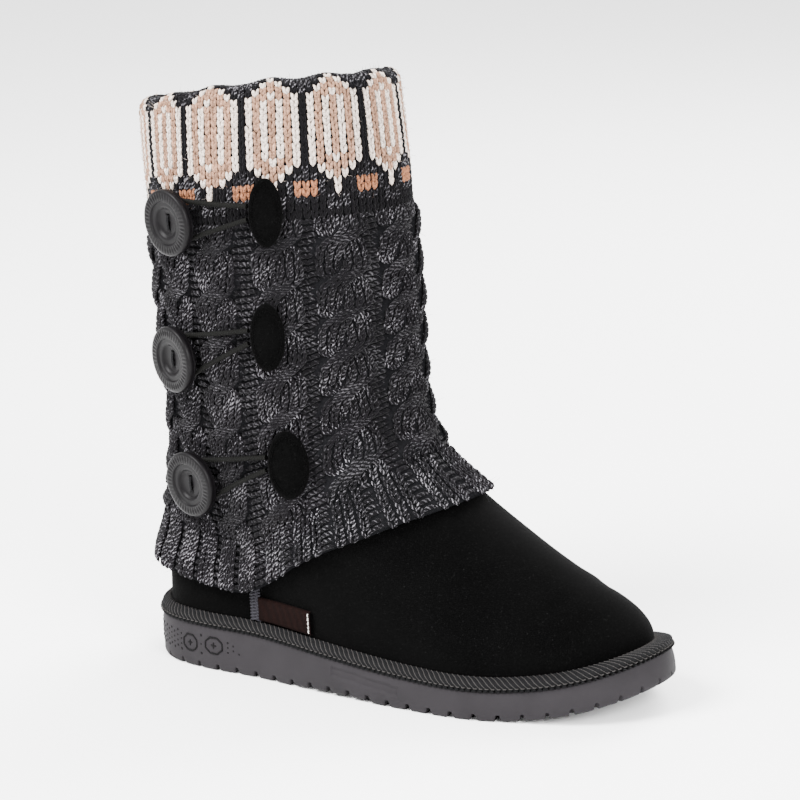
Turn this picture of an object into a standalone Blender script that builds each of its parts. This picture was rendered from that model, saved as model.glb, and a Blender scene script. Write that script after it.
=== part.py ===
"""Right ankle boot: a suede foot on a foam sole, with a buttoned cable-knit sleeve over its shaft.

Metres. +X points to the toe, +Y to the inner side of the foot and +Z up. The origin is on the floor
under the middle of the heel. Round the boot a place is a turn: 0 at the back of the heel, 0.25 at the
middle of the outer side, 0.5 at the toe or shin and 0.75 at the middle of the inner side.
"""

from collections import namedtuple
from functools import lru_cache
from math import pi

import bmesh
import bpy
import numpy as np
from mathutils import Matrix, Vector

# Fit between pieces
CLEARANCE = 0.0003
KNIT_GAP = 0.0017  # between the sleeve and the wall that it covers

# Sole
SOLE_LENGTH = 0.268
BALL_WIDTH = 0.1005
HEEL_WIDTH = 0.082
HEEL_BACK = 0.042  # from the origin back to the end of the sole
HEEL_THICKNESS = 0.0222
TOE_THICKNESS = 0.0147
TOE_SPRING = 0.0138
TOE_RAKE = 0.0022  # how far the tread reaches past the top of the sole at the toe
ARCH_LIFT = 0.001
TREAD_BEVEL = 0.0016
SOLE_SHOULDER = 0.0012
LUG_PITCH = 0.0112
GROOVE_WIDTH = 0.0022
GROOVE_HEIGHT = 0.0034
GROOVE_LENGTH = 0.0070
GROOVE_SLANT = 0.35  # radians off square, towards the toe
LEDGE = 0.0045  # from the edge of the sole in to the upper
TOE_LEDGE = 0.0085
BINDING_HEIGHT = 0.0055
INSOLE_THICKNESS = 0.006

# Upper
COLLAR_HEIGHT = 0.2745  # top edge of the upper at the middle of the outer side
COLLAR_SLOPE = 0.011  # how much higher the collar is at the shin than at the back
SHAFT_DEPTH = 0.120  # fore and aft at the collar
SHAFT_WIDTH = 0.0965
SHAFT_CENTRE = 0.022  # of the collar, ahead of the origin
UPPER_WALL = 0.003
BACK_WAIST = 0.010  # how far the back is drawn in above the heel
SEAM_WIDTH = 0.0036
SEAM_THICKNESS = 0.0014
SEAM_PLACE = 0.030  # of the side seams, ahead of the origin

# Knit sleeve
SLEEVE_WALL = 0.0038
LIP_WALL = 0.0028
LIP_DEPTH = 0.034
PATTERN_BAND = 0.072
RIB_BAND = 0.024
WALES = 108
CABLE_WALES = 8
ROPE_WALES = 6
CABLE_RISE = 0.0030
CROSSING_PITCH = 0.0205
RIB_RISE = 0.0016
PRESSED_RISE = 0.0024  # of the knit under the buttons, loops and patches
HEM_BACK = 0.050  # height of the hem above the floor
HEM_SIDE = 0.0435
HEM_FRONT = 0.094
HEM_FLARE = 0.0024
CUFF_BULGE = 0.0012
KNIT_SEAM_TURN = 0.170

# Buttons, loops, patches and tag
BUTTON_DIAMETER = 0.032
BUTTON_THICKNESS = 0.0046
BUTTON_RIM = 0.0058
RIM_DEPTH = 0.0008
DISH_DIAMETER = 0.0150
DISH_DEPTH = 0.0017
THREAD = 0.0014
THREAD_HOLE = 0.0022
THREAD_HOLE_SPACING = 0.0062
LOOP_CORD = 0.0024
LOOP_WIDTH = 0.021
LOOP_MOUTH = 0.0062
PATCH_WIDTH = 0.0140
PATCH_HEIGHT = 0.0325
PATCH_THICKNESS = 0.0018
TAG_LENGTH = 0.030
TAG_HEIGHT = 0.0115
TAG_THICKNESS = 0.0014

# Where the sleeve's smooth inner face has its rings, from the collar to the hem
LINING_SHARES = (0.22, 0.42, 0.56, 0.67, 0.76, 0.84, 0.92, 1.0)

# How finely the solids are cut
FOOT_COLUMNS = 44
KNIT_COLUMNS = 54  # four to a cable

# The plan of the sole: a place along its length, then the reach of each edge in shares of a width
OutlineRow = namedtuple("OutlineRow", "along width outer inner")
OUTLINE = (
    OutlineRow(0.000, HEEL_WIDTH, 0.000, 0.000),
    OutlineRow(0.020, HEEL_WIDTH, 0.245, 0.245),
    OutlineRow(0.070, HEEL_WIDTH, 0.415, 0.415),
    OutlineRow(0.150, HEEL_WIDTH, 0.490, 0.490),
    OutlineRow(0.280, HEEL_WIDTH, 0.510, 0.490),
    OutlineRow(0.440, BALL_WIDTH, 0.475, 0.385),
    OutlineRow(0.590, BALL_WIDTH, 0.502, 0.435),
    OutlineRow(0.710, BALL_WIDTH, 0.498, 0.500),
    OutlineRow(0.820, BALL_WIDTH, 0.422, 0.490),
    OutlineRow(0.900, BALL_WIDTH, 0.345, 0.425),
    OutlineRow(0.960, BALL_WIDTH, 0.215, 0.310),
    OutlineRow(1.000, BALL_WIDTH, -0.060, 0.060),
)

# The upper from the sole, rise 0, to the collar, rise 1. vamp is how far the front has gone from the
# shin to the toe, heel how far the back has gone from the shaft's back to the heel, and waist a share
# of the back's own. The width is a share of the ball's and one of the shaft's. follow_heel and
# follow_toe say how far the ring keeps to the plan of the sole, not to an oval.
UpperRow = namedtuple("UpperRow", "rise vamp heel waist ball shaft follow_heel follow_toe")
UPPER = (
    UpperRow(0.000, 1.000, 1.00, 0.00, 0.83, 0.00, 1.00, 1.00),
    UpperRow(0.036, 1.000, 1.00, 0.00, 0.83, 0.00, 1.00, 1.00),
    UpperRow(0.080, 0.955, 1.00, 0.03, 0.84, 0.00, 0.98, 0.80),
    UpperRow(0.125, 0.865, 1.00, 0.12, 0.84, 0.00, 0.94, 0.45),
    UpperRow(0.170, 0.735, 0.95, 0.30, 0.81, 0.00, 0.85, 0.22),
    UpperRow(0.220, 0.570, 0.85, 0.55, 0.60, 0.23, 0.68, 0.10),
    UpperRow(0.275, 0.390, 0.75, 0.81, 0.30, 0.54, 0.45, 0.03),
    UpperRow(0.335, 0.215, 0.60, 1.00, 0.10, 0.76, 0.22, 0.00),
    UpperRow(0.400, 0.120, 0.50, 1.03, 0.00, 0.88, 0.08, 0.00),
    UpperRow(0.480, 0.082, 0.40, 0.88, 0.00, 0.92, 0.00, 0.00),
    UpperRow(0.620, 0.068, 0.25, 0.65, 0.00, 0.95, 0.00, 0.00),
    UpperRow(0.800, 0.034, 0.10, 0.45, 0.00, 0.98, 0.00, 0.00),
    UpperRow(1.000, 0.000, 0.00, 0.00, 0.00, 1.00, 0.00, 0.00),
)

# Each button and its patch: heights above the floor, and turns from the middle of the outer side
FasteningRow = namedtuple("FasteningRow", "name button_height button_turn patch_height patch_turn")
FASTENINGS = (
    FasteningRow("top", 0.2235, -0.055, 0.2305, 0.083),
    FasteningRow("mid", 0.1565, -0.072, 0.1715, 0.080),
    FasteningRow("low", 0.0955, -0.064, 0.1105, 0.100),
)

Finish = namedtuple("Finish", "color roughness")
FINISHES = {
    "foam": Finish((0.068, 0.064, 0.072), 0.75),
    "binding": Finish((0.030, 0.029, 0.031), 0.70),
    "suede": Finish((0.010, 0.010, 0.012), 0.95),
    "lining": Finish((0.120, 0.115, 0.110), 1.00),
    "knit": Finish((0.045, 0.045, 0.050), 1.00),
    "button": Finish((0.048, 0.045, 0.052), 0.35),
    "thread": Finish((0.020, 0.020, 0.022), 0.60),
    "elastic": Finish((0.024, 0.024, 0.020), 0.65),
    "tag": Finish((0.032, 0.014, 0.013), 0.80),
}


def smooth(knots, values, at):
    """A smooth curve through the values at the knots, read at any places."""
    knots, values = np.asarray(knots, float), np.asarray(values, float)
    slopes = np.gradient(values, knots)
    i = np.clip(np.searchsorted(knots, at) - 1, 0, len(knots) - 2)
    step = knots[i + 1] - knots[i]
    t = (np.asarray(at, float) - knots[i]) / step
    start = (1 + 2 * t) * values[i] + t * step * slopes[i]
    end = (3 - 2 * t) * values[i + 1] - (1 - t) * step * slopes[i + 1]
    return start * (1 - t) ** 2 + end * t**2


def sections(table, at):
    """All columns of a table, read smoothly at places in its first column."""
    knots, *columns = zip(*table)
    return type(table[0])(at, *(smooth(knots, column, at) for column in columns))


def ease(share):
    share = np.clip(share, 0, 1)
    return share * share * (3 - 2 * share)


def ring_turns(count):
    return np.arange(count) / count


def along_of(turn):
    """How far along the foot a turn is: 0 at the back of the heel and 1 at the toe."""
    return (1 - np.cos(2 * pi * np.asarray(turn, float))) / 2


def sole_edge(turn):
    """Points (x, y) on the edge of the sole."""
    turn = np.asarray(turn, float) % 1
    along = along_of(turn)
    knots = np.arccos([1 - 2 * row.along for row in OUTLINE])
    at = np.arccos(1 - 2 * along)
    outer = smooth(knots, [row.width * row.outer for row in OUTLINE], at)
    inner = smooth(knots, [row.width * row.inner for row in OUTLINE], at)
    return np.stack([SOLE_LENGTH * along - HEEL_BACK, np.where(turn < 0.5, -outer, inner)], axis=-1)


def footprint(turn, inset):
    """The edge of the sole moved in by a distance, or by one for each turn."""
    step = 1 / 360
    run = sole_edge(np.asarray(turn) + step) - sole_edge(np.asarray(turn) - step)
    inward = np.stack([-run[..., 1], run[..., 0]], axis=-1)
    inward /= np.linalg.norm(inward, axis=-1, keepdims=True)
    return sole_edge(turn) + inward * np.broadcast_to(inset, np.shape(turn))[..., None]


def ledge(turn):
    """From the edge of the sole in to the upper: wider round the toe."""
    return LEDGE + (TOE_LEDGE - LEDGE) * ease((along_of(turn) - 0.7) / 0.3)


def sole_bottom(x):
    """Height of the tread: flat under the heel and the ball, lifted at the arch and at the toe."""
    along = (np.asarray(x) + HEEL_BACK) / SOLE_LENGTH
    arch = ease((along - 0.34) / 0.06) * ease((0.56 - along) / 0.06)
    toe = np.clip((along - 0.74) / 0.26, 0, None)
    return ARCH_LIFT * arch + TOE_SPRING * toe**2


def sole_top(x):
    along = (np.asarray(x) + HEEL_BACK) / SOLE_LENGTH
    toe = np.clip((along - 0.74) / 0.26, 0, None)
    fall = ease((along - 0.20) / 0.52)
    return TOE_SPRING * toe**2 + HEEL_THICKNESS + (TOE_THICKNESS - HEEL_THICKNESS) * fall


def collar_height(turn):
    return COLLAR_HEIGHT - COLLAR_SLOPE / 2 * np.cos(2 * pi * np.asarray(turn))


def upper_skin(turn, rise):
    """Points on the outside of the upper. rise is 0 at the sole and 1 at the collar."""
    turn, rise = np.broadcast_arrays(np.asarray(turn, float), np.asarray(rise, float))
    row = sections(UPPER, rise)
    plan = footprint(turn, ledge(turn))
    heel_x, toe_x = LEDGE - HEEL_BACK, SOLE_LENGTH - HEEL_BACK - TOE_LEDGE
    back_x, shin_x = SHAFT_CENTRE - SHAFT_DEPTH / 2, SHAFT_CENTRE + SHAFT_DEPTH / 2
    back = back_x + row.heel * (heel_x - back_x) + row.waist * BACK_WAIST
    front = shin_x + row.vamp * (toe_x - shin_x)
    along = along_of(turn)
    half_width = (row.ball * BALL_WIDTH + row.shaft * SHAFT_WIDTH) / 2
    oval = np.stack([back + (front - back) * along, -half_width * np.sin(2 * pi * turn)], axis=-1)
    stretch = (front - back) / (toe_x - heel_x)
    kept = row.follow_heel + (row.follow_toe - row.follow_heel) * ease(along * stretch)
    print_x = back + (plan[..., 0] - heel_x) * (row.follow_heel + stretch * (1 - row.follow_heel))
    toe_print = front + (plan[..., 0] - toe_x)
    print_x = print_x + (toe_print - print_x) * ease(along)
    swell = half_width / (BALL_WIDTH * UPPER[0].ball / 2)
    print_y = plan[..., 1] * (1 + (swell - 1) * row.follow_heel)
    ring = oval + (np.stack([print_x, print_y], axis=-1) - oval) * kept[..., None]
    base = sole_top(ring[..., 0]) + CLEARANCE
    height = base + (collar_height(turn) - base) * rise
    return np.concatenate([ring, height[..., None]], axis=-1)


@lru_cache(maxsize=None)
def upper_survey():
    """For evenly spaced rises, the reach and height of the upper in evenly spaced directions."""
    directions = np.linspace(0, 1, 361)
    reaches, heights = [], []
    for rise in np.linspace(0, 1, 101):
        ring = upper_skin(np.linspace(0, 1, 721), rise)
        x, y = ring[:, 0] - SHAFT_CENTRE, ring[:, 1]
        seen_at = np.unwrap(np.arctan2(-y, -x)) / (2 * pi)
        reaches.append(np.interp(directions, seen_at, np.hypot(x, y)))
        heights.append(np.interp(directions, seen_at, ring[:, 2]))
    return directions, np.array(reaches), np.array(heights)


def shaft_reach(turn, height):
    """How far the upper's outside is from the shaft's upright axis, in a direction at a height."""
    directions, reaches, heights = upper_survey()
    turn, height = np.broadcast_arrays(np.asarray(turn, float) % 1, np.asarray(height, float))
    found = np.empty(turn.shape)
    for place in np.ndindex(turn.shape):
        i = turn[place] * (len(directions) - 1)
        low = min(int(i), len(directions) - 2)
        share = i - low
        reach = reaches[:, low] * (1 - share) + reaches[:, low + 1] * share
        level = heights[:, low] * (1 - share) + heights[:, low + 1] * share
        found[place] = np.interp(height[place], level, reach)
    return found


def shaft_point(turn, height, lift):
    """A point on the upper's shaft, moved out level by a distance."""
    turn, height = np.broadcast_arrays(np.asarray(turn, float), np.asarray(height, float))
    reach = shaft_reach(turn, height) + lift
    angle = 2 * pi * turn
    return np.stack([SHAFT_CENTRE - reach * np.cos(angle), -reach * np.sin(angle), height], axis=-1)


def hem_height(turn):
    """Height of the sleeve's hem: lowest at the sides, and high over the instep."""
    lean = np.cos(2 * pi * np.asarray(turn))
    back, front = np.clip(lean, 0, None), np.clip(-lean, 0, None)
    return HEM_SIDE + (HEM_BACK - HEM_SIDE) * back**1.5 + (HEM_FRONT - HEM_SIDE) * front**2.2


def near_fastening(turn, height):
    """How far under a fastening the knit is: 1 where it is filled flat, and 1 where it is held down."""
    girth = pi * (SHAFT_DEPTH + SHAFT_WIDTH) / 2
    filled, held = np.zeros(np.shape(turn)), np.zeros(np.shape(turn))
    for row in FASTENINGS:
        button = np.array([row.button_turn * girth, row.button_height])
        patch = np.array([row.patch_turn * girth, row.patch_height])
        place = np.stack([(turn - 0.25) * girth, height], axis=-1)
        share = np.clip((place - button) @ (patch - button) / ((patch - button) @ (patch - button)), 0, 1)
        off_line = np.linalg.norm(place - button - share[..., None] * (patch - button), axis=-1)
        held = np.maximum(held, ease((1.9 - off_line / (LOOP_WIDTH / 2)) / 0.3))
        on_button = np.linalg.norm(place - button, axis=-1) / (BUTTON_DIAMETER / 2)
        on_patch = np.linalg.norm((place - patch) / (PATCH_WIDTH / 2, PATCH_HEIGHT / 2), axis=-1)
        held = np.maximum(held, ease((1.9 - np.minimum(on_button, on_patch)) / 0.3))
        filled = np.maximum(filled, ease((1.3 - np.minimum(on_button, on_patch)) / 0.4))
    return filled, held


def knit_relief(turn, height):
    """How far the ropes and ribs of the knit stand out of its plain face."""
    wale = (turn - KNIT_SEAM_TURN) * WALES
    across = (wale % CABLE_WALES - (CABLE_WALES - ROPE_WALES / 2)) / (ROPE_WALES / 2)
    phase = pi * (COLLAR_HEIGHT - height) / CROSSING_PITCH
    rope = np.zeros(np.shape(turn))
    for strand in (0, pi):
        centre = 0.45 * np.cos(phase + strand)
        top = 0.62 + 0.38 * np.sin(phase + strand)
        rope = np.maximum(rope, top * np.exp(-(((across - centre) / 0.52) ** 2)))
    rope *= across > -1.2
    rib = 0.5 - 0.5 * np.cos(2 * pi * wale / (CABLE_WALES / 2))
    above_hem = height - hem_height(turn)
    below_fold = collar_height(turn) - height
    in_rib = 1 - ease((above_hem - RIB_BAND) / 0.004 + 0.5)
    in_cables = (1 - in_rib) * ease((below_fold - PATTERN_BAND) / 0.004 + 0.5)
    relief = RIB_RISE * rib * in_rib + CABLE_RISE * rope * in_cables
    filled, held = near_fastening(turn, height)
    relief += (np.minimum(relief, PRESSED_RISE) - relief) * held
    return relief + (PRESSED_RISE - relief) * filled


def hem_flare(turn, height):
    """How far the knit stands off the upper towards its hem."""
    return HEM_FLARE * (1 - ease((height - hem_height(turn)) / RIB_BAND))


def plain_lift(turn, height):
    """From the upper out to the knit's face between its ropes."""
    below_fold = np.clip((collar_height(turn) - height) / PATTERN_BAND, 0, 1)
    return KNIT_GAP + SLEEVE_WALL + hem_flare(turn, height) + CUFF_BULGE * np.sin(pi * below_fold)


def sleeve_face(turn, height):
    """Points on the outside of the knit."""
    return shaft_point(turn, height, plain_lift(turn, height) + knit_relief(turn, height))


def face_level(turn, height, lift=0.0):
    """Points just clear of the pressed knit, where buttons, loops and patches lie."""
    return shaft_point(turn, height, plain_lift(turn, height) + PRESSED_RISE + CLEARANCE + lift)


def shaft_girth(height):
    """The way round the middle of the knit at a height, for turning lengths into turns."""
    return 2 * pi * float(shaft_reach(0.25, height) + plain_lift(0.25, height))


def outward(surface, turn, height):
    """The frame of a surface at a place: forwards along it, up along it, and out of it."""
    step = 0.002
    forward = Vector(surface(turn + step, height) - surface(turn - step, height)).normalized()
    up = Vector(surface(turn, height + step) - surface(turn, height - step))
    out = forward.cross(up).normalized()
    return forward, out.cross(forward), out


def material(name):
    found = bpy.data.materials.get(name)
    if found:
        return found
    finish = FINISHES[name]
    made = bpy.data.materials.new(name)
    made.use_nodes = True
    shader = made.node_tree.nodes["Principled BSDF"]
    shader.inputs["Base Color"].default_value = (*finish.color, 1)
    shader.inputs["Roughness"].default_value = finish.roughness
    shader.inputs["Metallic"].default_value = 0
    made.diffuse_color = (*finish.color, 1)
    return made


def add_object(name, mesh, finish, collection="ankle_boot"):
    obj = bpy.data.objects.new(name, mesh)
    bpy.data.collections[collection].objects.link(obj)
    obj.data.materials.append(material(finish))
    return obj


def shade(mesh, sharp_angle=0.6):
    mesh.shade_smooth()
    mesh.set_sharp_from_angle(angle=sharp_angle)


def skin(name, rings, around=False):
    """A mesh over closed rings of points. Where a ring has fewer points, each one takes a share of the
    wider ring's. With around, the last ring joins the first."""
    mesh = bpy.data.meshes.new(name)
    form = bmesh.new()
    loops = [[form.verts.new(point) for point in ring] for ring in rings]
    pairs = list(zip(loops, loops[1:] + loops[:1] if around else loops[1:]))
    for low, high in pairs:
        ratio_low = max(len(low) // len(high), 1)
        ratio_high = max(len(high) // len(low), 1)
        for i in range(min(len(low), len(high))):
            below = [low[(i * ratio_low + k) % len(low)] for k in range(ratio_low + 1)]
            above = [high[(i * ratio_high + k) % len(high)] for k in range(ratio_high + 1)]
            form.faces.new(below + above[::-1])
    form.to_mesh(mesh)
    form.free()
    return mesh


def ladder(form, ring, upwards):
    """Closes a ring that runs from heel to toe and back with cross strips."""
    count = len(ring)
    for i in range(count // 2):
        corners = [ring[i], ring[i + 1], ring[(count - i - 1) % count], ring[(count - i) % count]]
        corners = list(dict.fromkeys(corners))
        form.faces.new(corners if upwards else corners[::-1])


def slab(name, rings):
    """A solid over rings that follow the foot, closed below and above with cross strips."""
    mesh = skin(name, rings)
    form = bmesh.new()
    form.from_mesh(mesh)
    form.verts.ensure_lookup_table()
    count = len(rings[0])
    ladder(form, form.verts[:count], upwards=False)
    ladder(form, form.verts[-count:], upwards=True)
    form.to_mesh(mesh)
    form.free()
    return mesh


def foot_ring(inset, height_of, lift=0.0):
    """A ring on the plan of the sole, at heights that follow the foot."""
    plan = footprint(ring_turns(FOOT_COLUMNS), inset)
    return np.column_stack([plan, height_of(plan[:, 0]) + lift])


def tread_ring(inset, lift=0.0):
    """A ring round the tread, which reaches forward past the top of the sole at the toe."""
    ring = foot_ring(inset, sole_bottom, lift)
    along = (ring[:, 0] + HEEL_BACK) / SOLE_LENGTH
    ring[:, 0] += TOE_RAKE * ease((along - 0.6) / 0.4)
    return ring


def lug_places():
    """Turns of the grooves round the tread, an even pitch apart along its edge."""
    fine = np.linspace(0, 1, 2001)
    steps = np.linalg.norm(np.diff(sole_edge(fine), axis=0), axis=1)
    run = np.concatenate([[0], np.cumsum(steps)])
    count = round(run[-1] / LUG_PITCH)
    return np.interp((np.arange(count) + 0.5) * run[-1] / count, run, fine)


def groove_cutter():
    mesh = bpy.data.meshes.new("lug_grooves")
    form = bmesh.new()
    for turn in lug_places():
        outside, inside = footprint(turn, -GROOVE_LENGTH / 2), footprint(turn, GROOVE_LENGTH)
        middle = (outside + inside) / 2
        length = float(np.linalg.norm(outside - inside))
        slant = GROOVE_SLANT if turn < 0.5 else -GROOVE_SLANT
        heading = Vector((*(inside - outside), 0)).to_track_quat("X", "Z").to_matrix().to_4x4()
        centre = Vector((*middle, float(sole_bottom(middle[0]))))
        place = Matrix.Translation(centre) @ Matrix.Rotation(-slant, 4, "Z") @ heading
        size = Matrix.Diagonal((length, GROOVE_WIDTH, 2 * GROOVE_HEIGHT, 1))
        bmesh.ops.create_cube(form, size=1, matrix=place @ size)
    form.to_mesh(mesh)
    form.free()
    cutter = add_object("lug_grooves", mesh, "foam", "cutters")
    cutter.hide_render = True
    cutter.display_type = "WIRE"
    return cutter


def cut(obj, cutter):
    modifier = obj.modifiers.new(cutter.name, "BOOLEAN")
    modifier.operation = "DIFFERENCE"
    modifier.object = cutter


def build_outsole():
    mesh = slab(
        "outsole",
        [
            tread_ring(TREAD_BEVEL),
            tread_ring(0, TREAD_BEVEL),
            foot_ring(0, sole_top, -SOLE_SHOULDER),
            foot_ring(SOLE_SHOULDER, sole_top),
        ],
    )
    shade(mesh)
    cut(add_object("outsole", mesh, "foam"), groove_cutter())


def build_binding():
    """The tape round the top of the sole, from its edge up and in to the foot of the upper."""
    inner = ledge(ring_turns(FOOT_COLUMNS)) - 1.5 * CLEARANCE
    slope = inner - SOLE_SHOULDER
    rings = [
        foot_ring(inner, sole_top, CLEARANCE),
        foot_ring(SOLE_SHOULDER, sole_top, CLEARANCE),
        foot_ring(0, sole_top, BINDING_HEIGHT * 0.25),
        foot_ring(0, sole_top, BINDING_HEIGHT * 0.5),
        foot_ring(SOLE_SHOULDER + slope * 0.3, sole_top, BINDING_HEIGHT * 0.85),
        foot_ring(inner, sole_top, BINDING_HEIGHT),
    ]
    mesh = skin("sole_binding", rings, around=True)
    shade(mesh)
    add_object("sole_binding", mesh, "binding")


def build_insole():
    inset = ledge(ring_turns(FOOT_COLUMNS)) + UPPER_WALL + 2 * CLEARANCE
    bottom = foot_ring(inset, sole_top, CLEARANCE)
    top = foot_ring(inset, sole_top, CLEARANCE + INSOLE_THICKNESS)
    mesh = slab("insole", [bottom, top])
    shade(mesh)
    add_object("insole", mesh, "lining")


def build_upper():
    turns = ring_turns(FOOT_COLUMNS)
    rises = np.concatenate([np.linspace(0, 0.40, 11), [0.50, 0.65, 0.82, 1.00]])
    mesh = skin("upper", [upper_skin(turns, rise) for rise in rises])
    shade(mesh)
    obj = add_object("upper", mesh, "suede")
    wall = obj.modifiers.new("wall", "SOLIDIFY")
    wall.thickness = UPPER_WALL
    wall.offset = -1
    wall.use_even_offset = True


def sleeve_rows():
    """Heights of the knit's rows as functions of the turn: from the hem to the start of the fold."""
    level_from = HEM_FRONT + RIB_BAND
    lower = [lambda turn, s=s: hem_height(turn) + (level_from - hem_height(turn)) * s for s in np.linspace(0, 1, 12)]
    share_band = (COLLAR_HEIGHT - PATTERN_BAND - level_from) / COLLAR_HEIGHT
    count = max(round(share_band * COLLAR_HEIGHT * 4 / CROSSING_PITCH), 1)
    band = [lambda turn, s=s: level_from + (collar_height(turn) - PATTERN_BAND - level_from) * s
            for s in np.arange(1, count + 1) / count]
    cuff = [lambda turn, s=s: collar_height(turn) - PATTERN_BAND * (1 - s) for s in (0.06, 0.3, 0.55, 0.8, 0.99)]
    return lower + band + cuff


def lining_ring(turns, height):
    """A ring of the sleeve's inner face, eased out so that its flats clear the upper's curve."""
    half_step = 0.5 / len(turns)
    reach = shaft_reach(turns, height)
    middles = shaft_reach(turns + half_step, height)
    flats = (reach + np.roll(reach, -1)) / 2 * np.cos(2 * pi * half_step)
    sag = np.clip(middles - flats, 0, None)
    clear = KNIT_GAP + hem_flare(turns, height)
    return shaft_point(turns, height, clear + np.maximum(sag, np.roll(sag, 1)))


def build_sleeve():
    """The sleeve is one wall: up its outside, over the collar, down the lip inside, and back."""
    turns = ring_turns(KNIT_COLUMNS) + KNIT_SEAM_TURN + 1 / WALES
    rings = [sleeve_face(turns, row(turns)) for row in sleeve_rows()]
    top = collar_height(turns)
    outside = KNIT_GAP + SLEEVE_WALL
    lip_face = -(UPPER_WALL + KNIT_GAP)
    lip_inside = lip_face - LIP_WALL
    half = (outside - lip_inside) / 2
    for angle in pi * np.arange(1, 5) / 4:
        fold = shaft_point(turns, top, outside - half + half * np.cos(angle))
        fold[:, 2] += outside - half + half * np.sin(angle)
        rings.append(fold)
    rings.append(shaft_point(turns, top - LIP_DEPTH, lip_inside))
    rings.append(shaft_point(turns, top - LIP_DEPTH, lip_face))
    rings.append(shaft_point(turns, top, lip_face) + (0, 0, KNIT_GAP))
    rings.append(lining_ring(turns, top) + (0, 0, KNIT_GAP))
    for share in LINING_SHARES:
        rings.append(lining_ring(turns, top + (hem_height(turns) - top) * share))
    mesh = skin("knit_sleeve", rings, around=True)
    shade(mesh)
    add_object("knit_sleeve", mesh, "knit")


def tube(name, points, diameter, finish, closed=False):
    """A cord along points, made a mesh."""
    curve = bpy.data.curves.new(name, "CURVE")
    curve.dimensions = "3D"
    curve.bevel_depth = diameter / 2
    curve.bevel_resolution = 1
    curve.use_fill_caps = not closed
    spline = curve.splines.new("POLY")
    spline.points.add(len(points) - 1)
    for point, place in zip(spline.points, points):
        point.co = (*place, 1)
    spline.use_cyclic_u = closed
    return add_object(name, curve, finish)


def button_profile():
    """Points (radius, height) down the outside of a button, its back at height 0."""
    radius, thick = BUTTON_DIAMETER / 2, BUTTON_THICKNESS
    field = thick - RIM_DEPTH
    dish = DISH_DIAMETER / 2
    return [
        (0, field - DISH_DEPTH),
        (dish * 0.8, field - DISH_DEPTH),
        (dish, field),
        (radius - BUTTON_RIM, field),
        (radius - BUTTON_RIM * 0.85, thick),
        (radius * 0.93, thick),
        (radius, thick * 0.6),
        (radius * 0.93, 0),
        (0, 0),
    ]


def fastening_frame(row):
    """Where a button sits, clear of its loop: X runs forwards, Y up and Z out of the boot."""
    turn = 0.25 + row.button_turn
    forward, up, out = outward(face_level, turn, row.button_height)
    seat = Vector(face_level(turn, row.button_height))
    under = [Vector(point) - seat for point in loop_points(row)]
    under = [offset for offset in under if offset.length < BUTTON_DIAMETER / 2 + LOOP_CORD]
    lift = max(offset.dot(out) for offset in under) + LOOP_CORD / 2 + CLEARANCE
    axes = Matrix((forward, up, out)).transposed().to_4x4()
    return Matrix.Translation(seat + out * lift) @ axes, lift


def build_button(row, cutter_mesh):
    frame, _ = fastening_frame(row)
    mesh = bpy.data.meshes.new("button_" + row.name)
    profile = button_profile()
    edges = [(i, i + 1) for i in range(len(profile) - 1)]
    mesh.from_pydata([(radius, 0, height) for radius, height in profile], edges, [])
    obj = add_object("button_" + row.name, mesh, "button")
    obj.matrix_world = frame
    screw = obj.modifiers.new("turn", "SCREW")
    screw.steps = screw.render_steps = 18
    screw.use_merge_vertices = True
    screw.merge_threshold = 0.00005
    screw.use_smooth_shade = True
    cutter = add_object("thread_holes_" + row.name, cutter_mesh, "button", "cutters")
    cutter.matrix_world = frame
    cutter.hide_render = True
    cutter.display_type = "WIRE"
    cut(obj, cutter)


def thread_hole_mesh():
    mesh = bpy.data.meshes.new("thread_holes")
    form = bmesh.new()
    for side in (-1, 1):
        place = Matrix.Translation((0, side * THREAD_HOLE_SPACING / 2, BUTTON_THICKNESS / 2))
        radius = THREAD_HOLE / 2
        bmesh.ops.create_cone(
            form, cap_ends=True, segments=8, radius1=radius, radius2=radius, depth=2 * BUTTON_THICKNESS, matrix=place
        )
    form.to_mesh(mesh)
    form.free()
    return mesh


def build_thread(row):
    """The thread that holds a button: over its face, down both holes and along the knit behind it."""
    frame, lift = fastening_frame(row)
    side = THREAD_HOLE_SPACING / 2
    front = BUTTON_THICKNESS - RIM_DEPTH - DISH_DEPTH + CLEARANCE + THREAD / 2
    back = THREAD / 2 - lift
    corner = THREAD / 2
    path = [
        (side - corner, front), (side, front - corner), (side, back + corner), (side - corner, back),
        (corner - side, back), (-side, back + corner), (-side, front - corner), (corner - side, front),
    ]
    points = [frame @ Vector((0, across, out)) for across, out in path]
    tube("button_thread_" + row.name, points, THREAD, "thread", closed=True)


def loop_path(row):
    """Points (forwards, up) of an elastic from its patch, round the button's thread and back."""
    girth = shaft_girth(row.button_height)
    radius = LOOP_WIDTH / 2
    mouth = (row.patch_turn - row.button_turn) * girth - PATCH_WIDTH / 2 - 2 * CLEARANCE
    rise = row.patch_height - row.button_height
    strands, bearings = [], []
    for side in (1, -1):
        end = np.array([mouth, rise + side * LOOP_MOUTH / 2])
        bearing = np.arctan2(end[1], end[0]) + side * np.arccos(radius / np.hypot(*end))
        touch = radius * np.array([np.cos(bearing), np.sin(bearing)])
        strands.append([end + (touch - end) * share for share in np.linspace(0, 1, 5)[:-1]])
        bearings.append(bearing)
    arc = np.linspace(bearings[0], bearings[1] + 2 * pi, 9)
    round_thread = [radius * np.array([np.cos(angle), np.sin(angle)]) for angle in arc]
    return strands[0] + round_thread + strands[1][::-1]


def loop_points(row):
    girth = shaft_girth(row.button_height)
    path = np.array(loop_path(row))
    turns = 0.25 + row.button_turn + path[:, 0] / girth
    return face_level(turns, row.button_height + path[:, 1], LOOP_CORD / 2)


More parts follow.
